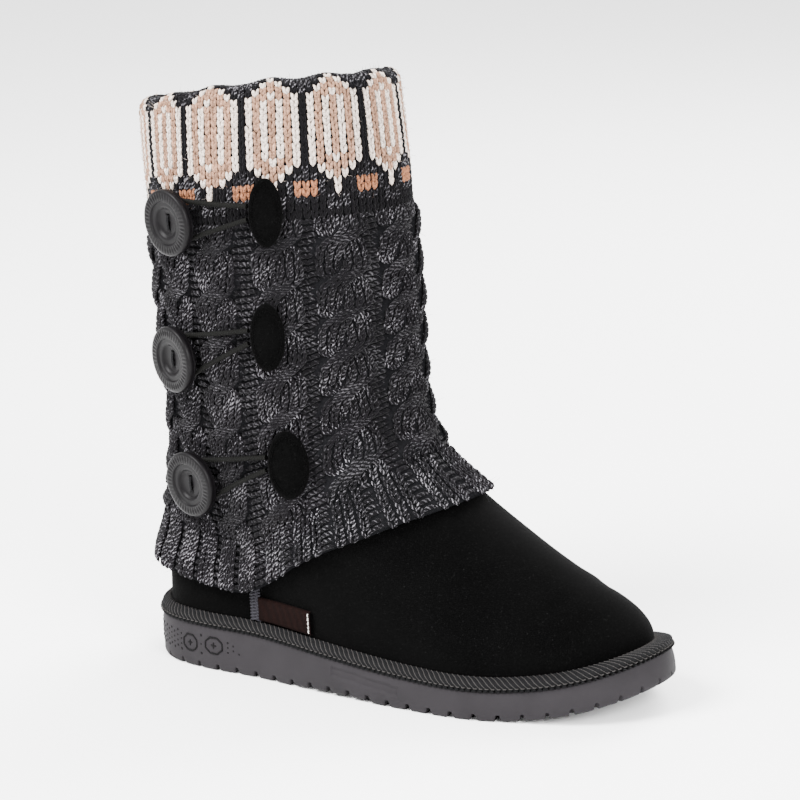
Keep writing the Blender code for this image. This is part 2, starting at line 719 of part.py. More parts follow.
def build_loop(row):
    """The elastic: out of the patch, round behind the button, and back to the patch."""
    tube("elastic_loop_" + row.name, loop_points(row), LOOP_CORD, "elastic")


def build_patch(row):
    """An oval of suede that lies on the knit."""
    centre = 0.25 + row.patch_turn
    girth = shaft_girth(row.button_height)
    angles = 2 * pi * ring_turns(14)
    rings = []
    for share, lift in ((0.1, 0), (0.6, 0), (1, 0), (1, 0.6), (0.85, 1), (0.1, 1)):
        turns = centre + share * PATCH_WIDTH / 2 * np.cos(angles) / girth
        heights = row.patch_height + share * PATCH_HEIGHT / 2 * np.sin(angles)
        rings.append(face_level(turns, heights, PATCH_THICKNESS * lift))
    mesh = capped("patch_" + row.name, rings)
    shade(mesh)
    add_object("patch_" + row.name, mesh, "suede")


def seam_turn(rise, inner):
    """The turn at which the upper's outer or inner side passes the side seam's place."""
    half = np.linspace(0.5, 1, 181) if inner else np.linspace(0, 0.5, 181)
    places = upper_skin(half, rise)[:, 0]
    order = np.argsort(places)
    return float(np.interp(SEAM_PLACE, places[order], half[order]))


def on_upper(turn, rise):
    return Vector(upper_skin(turn, rise))


def build_side_seam(name, inner):
    """The raised strip over a side seam, from the binding up under the hem."""
    rings = []
    binding_top = BINDING_HEIGHT + CLEARANCE * 2
    low = binding_top / (COLLAR_HEIGHT - HEEL_THICKNESS)
    high = (HEM_SIDE - HEEL_THICKNESS - CLEARANCE) / (COLLAR_HEIGHT - HEEL_THICKNESS)
    for rise in np.linspace(low, high, 4):
        turn = seam_turn(rise, inner)
        forward, up, out = outward(upper_skin, turn, rise)
        middle = on_upper(turn, rise) + out * 2 * CLEARANCE
        half, thick = SEAM_WIDTH / 2, SEAM_THICKNESS
        section = ((-half, 0), (half, 0), (half * 0.9, thick * 0.6), (0, thick), (-half * 0.9, thick * 0.6))
        rings.append([middle + forward * across + out * height for across, height in section])
    mesh = capped(name, rings)
    shade(mesh)
    add_object(name, mesh, "knit")


def build_tag():
    """A blank folded tag, sewn in at the outer side seam and lying forward on the upper."""
    low = (BINDING_HEIGHT + 4 * CLEARANCE) / (COLLAR_HEIGHT - HEEL_THICKNESS)
    rings = []
    for share in np.linspace(0, 1, 5):
        place = SEAM_PLACE + SEAM_WIDTH / 2 + 2 * CLEARANCE + TAG_LENGTH * share
        ring = []
        for up_share, out_share in ((0, 0), (1, 0), (1, 1), (0, 1)):
            rise = low + TAG_HEIGHT * up_share / (COLLAR_HEIGHT - HEEL_THICKNESS)
            half = np.linspace(0, 0.5, 181)
            spots = upper_skin(half, rise)
            order = np.argsort(spots[:, 0])
            turn = float(np.interp(place, spots[order, 0], half[order]))
            _, _, out = outward(upper_skin, turn, rise)
            ring.append(on_upper(turn, rise) + out * (2 * CLEARANCE + TAG_THICKNESS * out_share))
        rings.append(ring)
    mesh = capped("side_tag", rings)
    shade(mesh)
    add_object("side_tag", mesh, "tag")


def capped(name, rings):
    """A skin over rings whose two ends are closed with a face."""
    mesh = skin(name, rings)
    form = bmesh.new()
    form.from_mesh(mesh)
    bmesh.ops.holes_fill(form, edges=form.edges)
    bmesh.ops.recalc_face_normals(form, faces=form.faces)
    form.to_mesh(mesh)
    form.free()
    return mesh


def main():
    for obj in list(bpy.data.objects):
        bpy.data.objects.remove(obj)
    for name in ("ankle_boot", "cutters"):
        bpy.context.scene.collection.children.link(bpy.data.collections.new(name))
    build_outsole()
    build_binding()
    build_insole()
    build_upper()
    build_sleeve()
    build_side_seam("side_seam_outer", inner=False)
    build_side_seam("side_seam_inner", inner=True)
    build_tag()
    holes = thread_hole_mesh()
    for row in FASTENINGS:
        build_button(row, holes)
        build_thread(row)
        build_loop(row)
        build_patch(row)


if __name__ == "__main__":
    main()
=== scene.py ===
"""Looks of the right ankle boot: knitted sleeve, suede foot, corded binding, foam sole, buttons and loops.

Metres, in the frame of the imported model. Round the boot a place is a turn: 0 at the back of the heel,
0.25 at the middle of the outer side, 0.5 at the toe or shin and 0.75 at the middle of the inner side.
"""

from collections import namedtuple
from functools import lru_cache
from math import pi

import bpy
import numpy as np
from mathutils import Matrix, Vector


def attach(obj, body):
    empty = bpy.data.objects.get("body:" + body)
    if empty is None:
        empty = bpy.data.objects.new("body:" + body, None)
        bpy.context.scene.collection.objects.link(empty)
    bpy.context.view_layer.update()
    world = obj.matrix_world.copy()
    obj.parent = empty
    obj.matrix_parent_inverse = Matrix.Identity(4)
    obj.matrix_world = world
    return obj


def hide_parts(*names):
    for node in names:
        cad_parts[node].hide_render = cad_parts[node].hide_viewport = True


bl_info = {
    "name": "Ankle boot looks",
    "version": (1, 0, 0),
    "blender": (4, 5, 0),
    "location": "View3D > Sidebar > Boot",
    "description": "Builds the knit, suede, sole and trims of an ankle boot round its packed model",
    "category": "Add Mesh",
}

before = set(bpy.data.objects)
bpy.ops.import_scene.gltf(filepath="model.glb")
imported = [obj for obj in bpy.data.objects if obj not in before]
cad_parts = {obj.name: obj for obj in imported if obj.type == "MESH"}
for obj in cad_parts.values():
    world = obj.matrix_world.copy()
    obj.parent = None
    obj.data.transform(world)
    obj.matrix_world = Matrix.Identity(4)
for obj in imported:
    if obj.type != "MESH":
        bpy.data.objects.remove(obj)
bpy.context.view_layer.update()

OUTER = 0.25  # the turn at the middle of the outer side

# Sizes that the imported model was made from
CLEARANCE = 0.0003
KNIT_GAP = 0.0017  # between the sleeve and the wall that it covers
SOLE_LENGTH = 0.268
BALL_WIDTH = 0.1005
HEEL_WIDTH = 0.082
HEEL_BACK = 0.042  # from the origin back to the end of the sole
HEEL_THICKNESS = 0.0222
TOE_THICKNESS = 0.0147
TOE_SPRING = 0.0138
TOE_RAKE = 0.0022  # how far the tread reaches past the top of the sole at the toe
ARCH_LIFT = 0.001
TREAD_BEVEL = 0.0016
SOLE_SHOULDER = 0.0012
LUG_PITCH = 0.0112
GROOVE_WIDTH = 0.0022
GROOVE_HEIGHT = 0.0034
LEDGE = 0.0045  # from the edge of the sole in to the upper
TOE_LEDGE = 0.0085
BINDING_HEIGHT = 0.0055
COLLAR_HEIGHT = 0.2745  # top edge of the upper at the middle of the outer side
COLLAR_SLOPE = 0.011  # how much higher the collar is at the shin than at the back
SHAFT_DEPTH = 0.120  # fore and aft at the collar
SHAFT_WIDTH = 0.0965
SHAFT_CENTRE = 0.022  # of the collar, ahead of the origin
UPPER_WALL = 0.003
BACK_WAIST = 0.010  # how far the back is drawn in above the heel
SEAM_WIDTH = 0.0036
SEAM_PLACE = 0.030  # of the side seams, ahead of the origin
SLEEVE_WALL = 0.0038
LIP_WALL = 0.0028
PATTERN_BAND = 0.072
RIB_BAND = 0.024
HEM_BACK = 0.050  # height of the hem above the floor
HEM_SIDE = 0.0435
HEM_FRONT = 0.094
HEM_FLARE = 0.0024
CUFF_BULGE = 0.0012
BUTTON_DIAMETER = 0.032
BUTTON_THICKNESS = 0.0046
BUTTON_RIM = 0.0058
RIM_DEPTH = 0.0008
DISH_DIAMETER = 0.0150
DISH_DEPTH = 0.0017
THREAD_HOLE = 0.0022
THREAD_HOLE_SPACING = 0.0062
LOOP_CORD = 0.0024
LOOP_WIDTH = 0.021
LOOP_MOUTH = 0.0062
PATCH_WIDTH = 0.0140
PATCH_HEIGHT = 0.0325
PATCH_THICKNESS = 0.0018
TAG_LENGTH = 0.030
TAG_HEIGHT = 0.0115
PRESSED_RISE = 0.0024  # of the knit under the buttons, loops and patches

# The plan of the sole: a place along its length, then the reach of each edge in shares of a width
OutlineRow = namedtuple("OutlineRow", "along width outer inner")
OUTLINE = (
    OutlineRow(0.000, HEEL_WIDTH, 0.000, 0.000),
    OutlineRow(0.020, HEEL_WIDTH, 0.245, 0.245),
    OutlineRow(0.070, HEEL_WIDTH, 0.415, 0.415),
    OutlineRow(0.150, HEEL_WIDTH, 0.490, 0.490),
    OutlineRow(0.280, HEEL_WIDTH, 0.510, 0.490),
    OutlineRow(0.440, BALL_WIDTH, 0.475, 0.385),
    OutlineRow(0.590, BALL_WIDTH, 0.502, 0.435),
    OutlineRow(0.710, BALL_WIDTH, 0.498, 0.500),
    OutlineRow(0.820, BALL_WIDTH, 0.422, 0.490),
    OutlineRow(0.900, BALL_WIDTH, 0.345, 0.425),
    OutlineRow(0.960, BALL_WIDTH, 0.215, 0.310),
    OutlineRow(1.000, BALL_WIDTH, -0.060, 0.060),
)

# The upper from the sole, rise 0, to the collar, rise 1. vamp is how far the front has gone from the
# shin to the toe, heel how far the back has gone from the shaft's back to the heel, and waist a share
# of the back's own. The width is a share of the ball's and one of the shaft's. follow_heel and
# follow_toe say how far the ring keeps to the plan of the sole, not to an oval.
UpperRow = namedtuple("UpperRow", "rise vamp heel waist ball shaft follow_heel follow_toe")
UPPER = (
    UpperRow(0.000, 1.000, 1.00, 0.00, 0.83, 0.00, 1.00, 1.00),
    UpperRow(0.036, 1.000, 1.00, 0.00, 0.83, 0.00, 1.00, 1.00),
    UpperRow(0.080, 0.955, 1.00, 0.03, 0.84, 0.00, 0.98, 0.80),
    UpperRow(0.125, 0.865, 1.00, 0.12, 0.84, 0.00, 0.94, 0.45),
    UpperRow(0.170, 0.735, 0.95, 0.30, 0.81, 0.00, 0.85, 0.22),
    UpperRow(0.220, 0.570, 0.85, 0.55, 0.60, 0.23, 0.68, 0.10),
    UpperRow(0.275, 0.390, 0.75, 0.81, 0.30, 0.54, 0.45, 0.03),
    UpperRow(0.335, 0.215, 0.60, 1.00, 0.10, 0.76, 0.22, 0.00),
    UpperRow(0.400, 0.120, 0.50, 1.03, 0.00, 0.88, 0.08, 0.00),
    UpperRow(0.480, 0.082, 0.40, 0.88, 0.00, 0.92, 0.00, 0.00),
    UpperRow(0.620, 0.068, 0.25, 0.65, 0.00, 0.95, 0.00, 0.00),
    UpperRow(0.800, 0.034, 0.10, 0.45, 0.00, 0.98, 0.00, 0.00),
    UpperRow(1.000, 0.000, 0.00, 0.00, 0.00, 1.00, 0.00, 0.00),
)

# Each button and its patch: heights above the floor, and turns from the middle of the outer side
FasteningRow = namedtuple("FasteningRow", "name button_height button_turn patch_height patch_turn")
FASTENINGS = (
    FasteningRow("top", 0.2235, -0.055, 0.2305, 0.083),
    FasteningRow("mid", 0.1565, -0.072, 0.1715, 0.080),
    FasteningRow("low", 0.0955, -0.064, 0.1105, 0.100),
)


def smooth(knots, values, at):
    """A smooth curve through the values at the knots, read at any places."""
    knots, values = np.asarray(knots, float), np.asarray(values, float)
    slopes = np.gradient(values, knots)
    i = np.clip(np.searchsorted(knots, at) - 1, 0, len(knots) - 2)
    step = knots[i + 1] - knots[i]
    t = (np.asarray(at, float) - knots[i]) / step
    start = (1 + 2 * t) * values[i] + t * step * slopes[i]
    end = (3 - 2 * t) * values[i + 1] - (1 - t) * step * slopes[i + 1]
    return start * (1 - t) ** 2 + end * t**2


def sections(table, at):
    """All columns of a table, read smoothly at places in its first column."""
    knots, *columns = zip(*table)
    return type(table[0])(at, *(smooth(knots, column, at) for column in columns))


def ease(share):
    share = np.clip(share, 0, 1)
    return share * share * (3 - 2 * share)


def along_of(turn):
    """How far along the foot a turn is: 0 at the back of the heel and 1 at the toe."""
    return (1 - np.cos(2 * pi * np.asarray(turn, float))) / 2


def sole_edge(turn):
    """Points (x, y) on the edge of the sole."""
    turn = np.asarray(turn, float) % 1
    along = along_of(turn)
    knots = np.arccos([1 - 2 * row.along for row in OUTLINE])
    at = np.arccos(1 - 2 * along)
    outer = smooth(knots, [row.width * row.outer for row in OUTLINE], at)
    inner = smooth(knots, [row.width * row.inner for row in OUTLINE], at)
    return np.stack([SOLE_LENGTH * along - HEEL_BACK, np.where(turn < 0.5, -outer, inner)], axis=-1)


def footprint(turn, inset):
    """The edge of the sole moved in by a distance, or by one for each turn."""
    step = 1 / 360
    run = sole_edge(np.asarray(turn) + step) - sole_edge(np.asarray(turn) - step)
    inward = np.stack([-run[..., 1], run[..., 0]], axis=-1)
    inward /= np.linalg.norm(inward, axis=-1, keepdims=True)
    return sole_edge(turn) + inward * np.broadcast_to(inset, np.shape(turn))[..., None]


def ledge(turn):
    """From the edge of the sole in to the upper: wider round the toe."""
    return LEDGE + (TOE_LEDGE - LEDGE) * ease((along_of(turn) - 0.7) / 0.3)


def sole_bottom(x):
    """Height of the tread: flat under the heel and the ball, lifted at the arch and at the toe."""
    along = (np.asarray(x) + HEEL_BACK) / SOLE_LENGTH
    arch = ease((along - 0.34) / 0.06) * ease((0.56 - along) / 0.06)
    toe = np.clip((along - 0.74) / 0.26, 0, None)
    return ARCH_LIFT * arch + TOE_SPRING * toe**2


def sole_top(x):
    along = (np.asarray(x) + HEEL_BACK) / SOLE_LENGTH
    toe = np.clip((along - 0.74) / 0.26, 0, None)
    fall = ease((along - 0.20) / 0.52)
    return TOE_SPRING * toe**2 + HEEL_THICKNESS + (TOE_THICKNESS - HEEL_THICKNESS) * fall


def collar_height(turn):
    return COLLAR_HEIGHT - COLLAR_SLOPE / 2 * np.cos(2 * pi * np.asarray(turn))


def upper_skin(turn, rise):
    """Points on the outside of the upper. rise is 0 at the sole and 1 at the collar."""
    turn, rise = np.broadcast_arrays(np.asarray(turn, float), np.asarray(rise, float))
    row = sections(UPPER, rise)
    plan = footprint(turn, ledge(turn))
    heel_x, toe_x = LEDGE - HEEL_BACK, SOLE_LENGTH - HEEL_BACK - TOE_LEDGE
    back_x, shin_x = SHAFT_CENTRE - SHAFT_DEPTH / 2, SHAFT_CENTRE + SHAFT_DEPTH / 2
    back = back_x + row.heel * (heel_x - back_x) + row.waist * BACK_WAIST
    front = shin_x + row.vamp * (toe_x - shin_x)
    along = along_of(turn)
    half_width = (row.ball * BALL_WIDTH + row.shaft * SHAFT_WIDTH) / 2
    oval = np.stack([back + (front - back) * along, -half_width * np.sin(2 * pi * turn)], axis=-1)
    stretch = (front - back) / (toe_x - heel_x)
    kept = row.follow_heel + (row.follow_toe - row.follow_heel) * ease(along * stretch)
    print_x = back + (plan[..., 0] - heel_x) * (row.follow_heel + stretch * (1 - row.follow_heel))
    toe_print = front + (plan[..., 0] - toe_x)
    print_x = print_x + (toe_print - print_x) * ease(along)
    swell = half_width / (BALL_WIDTH * UPPER[0].ball / 2)
    print_y = plan[..., 1] * (1 + (swell - 1) * row.follow_heel)
    ring = oval + (np.stack([print_x, print_y], axis=-1) - oval) * kept[..., None]
    base = sole_top(ring[..., 0]) + CLEARANCE
    height = base + (collar_height(turn) - base) * rise
    return np.concatenate([ring, height[..., None]], axis=-1)


@lru_cache(maxsize=None)
def upper_survey():
    """For evenly spaced rises, the reach and height of the upper in evenly spaced directions."""
    directions = np.linspace(0, 1, 361)
    reaches, heights = [], []
    for rise in np.linspace(0, 1, 101):
        ring = upper_skin(np.linspace(0, 1, 721), rise)
        x, y = ring[:, 0] - SHAFT_CENTRE, ring[:, 1]
        seen_at = np.unwrap(np.arctan2(-y, -x)) / (2 * pi)
        reaches.append(np.interp(directions, seen_at, np.hypot(x, y)))
        heights.append(np.interp(directions, seen_at, ring[:, 2]))
    return directions, np.array(reaches), np.array(heights)


def shaft_reach(turn, height):
    """How far the upper's outside is from the shaft's upright axis, in a direction at a height."""
    directions, reaches, heights = upper_survey()
    turn, height = np.broadcast_arrays(np.asarray(turn, float) % 1, np.asarray(height, float))
    at = turn * (len(directions) - 1)
    low = np.minimum(at.astype(int), len(directions) - 2)
    share = at - low
    found = np.zeros(turn.shape)
    for side, weight in ((low, 1 - share), (low + 1, share)):
        for column in np.unique(side):
            here = side == column
            found[here] += weight[here] * np.interp(height[here], heights[:, column], reaches[:, column])
    return found


def shaft_point(turn, height, lift):
    """A point on the upper's shaft, moved out level by a distance."""
    turn, height = np.broadcast_arrays(np.asarray(turn, float), np.asarray(height, float))
    reach = shaft_reach(turn, height) + lift
    angle = 2 * pi * turn
    return np.stack([SHAFT_CENTRE - reach * np.cos(angle), -reach * np.sin(angle), height], axis=-1)


def hem_height(turn):
    """Height of the sleeve's hem: lowest at the sides, and high over the instep."""
    lean = np.cos(2 * pi * np.asarray(turn))
    back, front = np.clip(lean, 0, None), np.clip(-lean, 0, None)
    return HEM_SIDE + (HEM_BACK - HEM_SIDE) * back**1.5 + (HEM_FRONT - HEM_SIDE) * front**2.2


def hem_flare(turn, height):
    """How far the knit stands off the upper towards its hem."""
    return HEM_FLARE * (1 - ease((height - hem_height(turn)) / RIB_BAND))


def plain_lift(turn, height):
    """From the upper out to the knit's face between its ropes."""
    below_fold = np.clip((collar_height(turn) - height) / PATTERN_BAND, 0, 1)
    return KNIT_GAP + SLEEVE_WALL + hem_flare(turn, height) + CUFF_BULGE * np.sin(pi * below_fold)


def face_level(turn, height, lift=0.0):
    """Points just clear of the pressed knit, where buttons, loops and patches lie."""
    return shaft_point(turn, height, plain_lift(turn, height) + PRESSED_RISE + CLEARANCE + lift)


def shaft_girth(height):
    """The way round the middle of the knit at a height, for turning lengths into turns."""
    return 2 * pi * float(shaft_reach(OUTER, height) + plain_lift(OUTER, height))


def outward(surface, turn, height):
    """The frame of a surface at a place: forwards along it, up along it, and out of it."""
    step = 0.002
    forward = Vector(surface(turn + step, height) - surface(turn - step, height)).normalized()
    up = Vector(surface(turn, height + step) - surface(turn, height - step))
    out = forward.cross(up).normalized()
    return forward, out.cross(forward), out


def seam_turn(rise, inner):
    """The turn at which the upper's outer or inner side passes the side seam's place."""
    half = np.linspace(0.5, 1, 181) if inner else np.linspace(0, 0.5, 181)
    places = upper_skin(half, rise)[:, 0]
    order = np.argsort(places)
    return float(np.interp(SEAM_PLACE, places[order], half[order]))


def run_along(points):
    """Lengths along a line of points, from 0 at its start."""
    steps = np.linalg.norm(np.diff(points, axis=0), axis=1)
    return np.concatenate([[0], np.cumsum(steps)])


def lug_places():
    """Turns of the grooves round the tread, an even pitch apart along its edge."""
    fine = np.linspace(0, 1, 2001)
    run = run_along(sole_edge(fine))
    count = round(run[-1] / LUG_PITCH)
    return np.interp((np.arange(count) + 0.5) * run[-1] / count, run, fine)


def loop_path(row):
    """Points (forwards, up) of an elastic from its patch, round the button's thread and back."""
    girth = shaft_girth(row.button_height)
    radius = LOOP_WIDTH / 2
    mouth = (row.patch_turn - row.button_turn) * girth - PATCH_WIDTH / 2 - 2 * CLEARANCE
    rise = row.patch_height - row.button_height
    strands, bearings = [], []
    for side in (1, -1):
        end = np.array([mouth, rise + side * LOOP_MOUTH / 2])
        bearing = np.arctan2(end[1], end[0]) + side * np.arccos(radius / np.hypot(*end))
        touch = radius * np.array([np.cos(bearing), np.sin(bearing)])
        strands.append([end + (touch - end) * share for share in np.linspace(0, 1, 5)[:-1]])
        bearings.append(bearing)
    arc = np.linspace(bearings[0], bearings[1] + 2 * pi, 9)
    round_thread = [radius * np.array([np.cos(angle), np.sin(angle)]) for angle in arc]
    return strands[0] + round_thread + strands[1][::-1]


def loop_points(row):
    girth = shaft_girth(row.button_height)
    path = np.array(loop_path(row))
    turns = OUTER + row.button_turn + path[:, 0] / girth
    return face_level(turns, row.button_height + path[:, 1], LOOP_CORD / 2)


def fastening_frame(row):
    """Where a button sits, clear of its loop: X runs forwards, Y up and Z out of the boot."""
    turn = OUTER + row.button_turn
    forward, up, out = outward(face_level, turn, row.button_height)
    seat = Vector(face_level(turn, row.button_height))
    under = [Vector(point) - seat for point in loop_points(row)]
    under = [offset for offset in under if offset.length < BUTTON_DIAMETER / 2 + LOOP_CORD]
    lift = max(offset.dot(out) for offset in under) + LOOP_CORD / 2 + CLEARANCE
    axes = Matrix((forward, up, out)).transposed().to_4x4()
    return Matrix.Translation(seat + out * lift) @ axes, lift


# The knit's own counts: wales round the sleeve, and courses from the lip over the fold to the hem
REPEAT = 8
REPEATS = 12
SEAM_WALES = 9
WALES = REPEAT * REPEATS + SEAM_WALES
FIRST_GAP_TURN = 0.304  # the dark gap between two motifs that the wales are counted from
COURSE = 0.00306
TIP_RISE = 0.0095  # how far a motif's tip reaches over the fold
LIP_COURSES = 14
PATTERN_COURSES = 20
CABLE_COURSES = 45
RIB_COURSES = 7
CROSSINGS = 7
CABLE_END = PATTERN_COURSES + CABLE_COURSES
KNIT_END = CABLE_END + RIB_COURSES
ROPE_MIDDLE = 4.5  # of a cable, in wales from the start of its repeat
ROPE_SWING = 1.68  # how far each of its strands goes to either side
SWING_HOLD = 2.1  # how long a strand stays at its side
RIB_LIFT = 0.0010
OUTSIDE = KNIT_GAP + SLEEVE_WALL
LIP_INSIDE = -(UPPER_WALL + KNIT_GAP + LIP_WALL)
FOLD_RADIUS = (OUTSIDE - LIP_INSIDE) / 2

# The colour chart, from the tips at the fold down to the first cable course. A row starts with the
# gap between motifs: W cream, T tan, R warm tan, K black, G grey marl.
CHART = (
    "GGGKWKGG",
    "GGKWTWKG",
    "GKWTTTWK",
    "KWTTWTTW",
    *("KWTWTWTW",) * 8,
    "KWTTWTTW",
    "GKWTTTWK",
    "GGKWTWKG",
    "RRGKWKGR",
    "RRGKWKGR",
    "GGKGKGKG",
    "KKKGGGKK",
    "KKKKKKKK",
)
FOLD_CHART = ("GGGKKKGG", "GGGGKGGG", "GGGKKKGG")
SEAM_COLUMNS = (0, 1, 2, 3, 4, 4, 5, 6, 7)


def linear(color):
    """Linear light from a colour in shares of 255."""
    share = np.asarray(color, float) / 255
    return tuple(np.where(share <= 0.04045, share / 12.92, ((share + 0.055) / 1.055) ** 2.4).tolist())


def times(color, share):
    """A darker or lighter tone of a colour."""
    return tuple(each * share for each in color)


def color_property(name, description, color):
    return bpy.props.FloatVectorProperty(
        name=name, description=description, default=linear(color), size=3, min=0, max=1, subtype="COLOR"
    )


class KnitSettings(bpy.types.PropertyGroup):
    yarn: bpy.props.FloatProperty(
        name="Yarn", description="Radius of one leg of a stitch", default=0.00085, unit="LENGTH"
    )
    rope_rise: bpy.props.FloatProperty(
        name="Rope rise",
        description="How far a cable's front strand stands out",
        default=0.0029,
        unit="LENGTH",
    )
    fibres: bpy.props.IntProperty(name="Fibres", description="Loose fibres on the knit", default=6500, min=0)
    cream: color_property("Cream", "Outline yarn of the motifs", (200, 186, 175))
    tan: color_property("Tan", "Filling yarn of the motifs", (143, 110, 90))
    warm_tan: color_property("Warm tan", "Yarn of the small blocks", (130, 86, 62))
    black: color_property("Black", "Plain dark yarn", (7, 6, 8))
    marl_dark: color_property("Marl dark", "Dark ply of the marled yarn", (8, 7, 9))
    marl_light: color_property("Marl light", "Light ply of the marled yarn", (106, 104, 108))


class FootSettings(bpy.types.PropertyGroup):
    suede: color_property("Suede", "Nap of the foot", (2, 2, 2))
    foam: color_property("Foam", "Side of the sole", (26, 24, 26))
    cord: color_property("Binding cord", "Cords round the top of the sole", (7, 7, 8))
    # Light grey: partly the binding's stitching and partly painted highlight, standing for glints along the
    # binding.
    stitch: color_property("Binding stitch", "Light stitches along the binding", (52, 50, 49))
    crease: bpy.props.FloatProperty(
        name="Crease", description="Depth of the creases over the toes", default=0.0007, unit="LENGTH"
    )


class TrimSettings(bpy.types.PropertyGroup):
    button: color_property("Button", "Satin plastic", (7, 6, 7))
    elastic: color_property("Elastic", "Braided loops", (5, 5, 4))
    tag: color_property("Tag", "Side tag", (12, 4, 3))
    rim_ribs: bpy.props.IntProperty(
        name="Rim ribs", description="Ribs round a button's rim", default=44, min=8
    )


class StageSettings(bpy.types.PropertyGroup):
    floor: color_property("Floor", "Pale plain floor", (252, 252, 252))
    key_power: bpy.props.FloatProperty(
        name="Key", description="Power of the main soft light", default=150, unit="POWER"
    )


# Meshes from arrays


def mesh_object(name, points, quads, material, attributes=(), second=None, slots=None):
    """An object from points and four-cornered faces, with values carried on its points."""
    mesh = bpy.data.meshes.new(name)
    mesh.vertices.add(len(points))
    mesh.vertices.foreach_set("co", np.ascontiguousarray(points, np.float32).ravel())
    mesh.loops.add(quads.size)
    mesh.loops.foreach_set("vertex_index", quads.astype(np.int32).ravel())
    mesh.polygons.add(len(quads))
    mesh.polygons.foreach_set("loop_start", np.arange(0, quads.size, 4, dtype=np.int32))
    for attribute, kind, values in attributes:
        layer = mesh.attributes.new(attribute, kind, "POINT")
        key = "color" if kind == "FLOAT_COLOR" else "vector"
        layer.data.foreach_set(key, np.ascontiguousarray(values, np.float32).ravel())
    for each in filter(None, (material, second)):
        mesh.materials.append(each)
    if slots is not None:
        mesh.polygons.foreach_set("material_index", np.asarray(slots, np.int32))
    mesh.update(calc_edges=True)
    mesh.validate()
    mesh.shade_smooth()
    obj = bpy.data.objects.new(name, mesh)
    bpy.context.scene.collection.objects.link(obj)
    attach(obj, "root")
    return obj


def grid_quads(rows, columns, around=True):
    """Faces of a grid of points, rows by columns."""
    last = columns if around else columns - 1
    row, column = np.meshgrid(np.arange(rows - 1), np.arange(last), indexing="ij")
    here, beside = row * columns + column, row * columns + (column + 1) % columns
    quads = np.stack([here, beside, beside + columns, here + columns], axis=-1)
    return quads.reshape(-1, 4)


def tubes(centres, outs, radii, sides):
    """Points and faces of many tubes. centres and outs are (tubes, sections, 3), radii (tubes, sections)."""
    run = np.gradient(centres, axis=1)
    run /= np.linalg.norm(run, axis=-1, keepdims=True) + 1e-12
    side = np.cross(run, outs)
    side /= np.linalg.norm(side, axis=-1, keepdims=True) + 1e-12
    up = np.cross(side, run)
    angles = 2 * pi * (np.arange(sides) + 0.5) / sides - pi / 2
    ring = side[:, :, None] * np.cos(angles)[:, None] + up[:, :, None] * np.sin(angles)[:, None]
    points = centres[:, :, None] + ring * np.asarray(radii)[..., None, None]
    count, sections = centres.shape[:2]
    one = grid_quads(sections, sides)
    quads = (one[None] + (np.arange(count) * sections * sides)[:, None, None]).reshape(-1, 4)
    return points.reshape(-1, 3), quads


def tube_values(along, seeds, sides):
    """For each point of many tubes: how far along it is in metres, its share of the way round, and a seed."""
    count, sections = along.shape
    around = np.broadcast_to(np.arange(sides) / sides, (count, sections, sides))
    spread = np.broadcast_to(along[..., None], around.shape)
    seed = np.broadcast_to(np.asarray(seeds)[:, None, None], around.shape)
    return np.stack([spread, around, seed], axis=-1).reshape(-1, 3)


def lengths_along(centres):
    steps = np.linalg.norm(np.diff(centres, axis=1), axis=-1)
    return np.concatenate([np.zeros((len(centres), 1)), np.cumsum(steps, axis=1)], axis=1)


def join(parts):
    """One set of points, faces and values from several."""
    offsets = np.cumsum([0] + [len(part[0]) for part in parts[:-1]])
    points = np.concatenate([part[0] for part in parts])
    quads = np.concatenate([part[1] + offset for part, offset in zip(parts, offsets)])
    return (points, quads, *(np.concatenate(values) for values in zip(*(part[2:] for part in parts))))


def yarn_tubes(centres, outs, radii, sides, seeds):
    """Points, faces and places along the yarn of many tubes."""
    points, quads = tubes(centres, outs, radii, sides)
    return points, quads, tube_values(lengths_along(centres), seeds, sides)


def yarn_object(name, tube, material, colors=None):
    """A piece of yarn or thread from its points, faces and places along the yarn."""
    points, quads, places = tube
    attributes = [("yarn_place", "FLOAT_VECTOR", places)]
    if colors is not None:
        attributes.insert(0, ("yarn_color", "FLOAT_COLOR", colors))
    return mesh_object(name, points, quads, material, attributes)


def grid_object(name, rings, material, around=True):
    """An object from rings of points, which are closed unless around is off."""
    quads = grid_quads(*rings.shape[:2], around)
    return mesh_object(name, rings.reshape(-1, 3), quads, material)


# Materials


class Value:
    """A shader socket that takes part in sums."""

    def __init__(self, tree, socket):
        self.tree, self.socket = tree, socket

    def math(self, operation, *others):
        made = self.tree.nodes.new("ShaderNodeMath")
        made.operation = operation
        for slot, value in zip(made.inputs, (self, *others)):
            feed(self.tree, slot, value)
        return Value(self.tree, made.outputs[0])

    def __add__(self, other):
        return self.math("ADD", other)

    def __sub__(self, other):
        return self.math("SUBTRACT", other)

    def __mul__(self, other):
        return self.math("MULTIPLY", other)

    __radd__, __rmul__ = __add__, __mul__

    def wave(self):
        """0 to 1, once for each whole number."""
        return (self * 2 * pi).math("SINE") * 0.5 + 0.5

    def between(self, low, high):
        """0 under low, 1 over high, and smooth in between."""
        made = self.tree.nodes.new("ShaderNodeMapRange")
        made.interpolation_type = "SMOOTHSTEP"
        for slot, value in (("Value", self), ("From Min", low), ("From Max", high)):
            feed(self.tree, made.inputs[slot], value)
        return Value(self.tree, made.outputs["Result"])


def feed(tree, slot, value):
    if isinstance(value, Value):
        tree.links.new(value.socket, slot)
    else:
        slot.default_value = (*value, 1) if slot.type == "RGBA" and len(value) == 3 else value


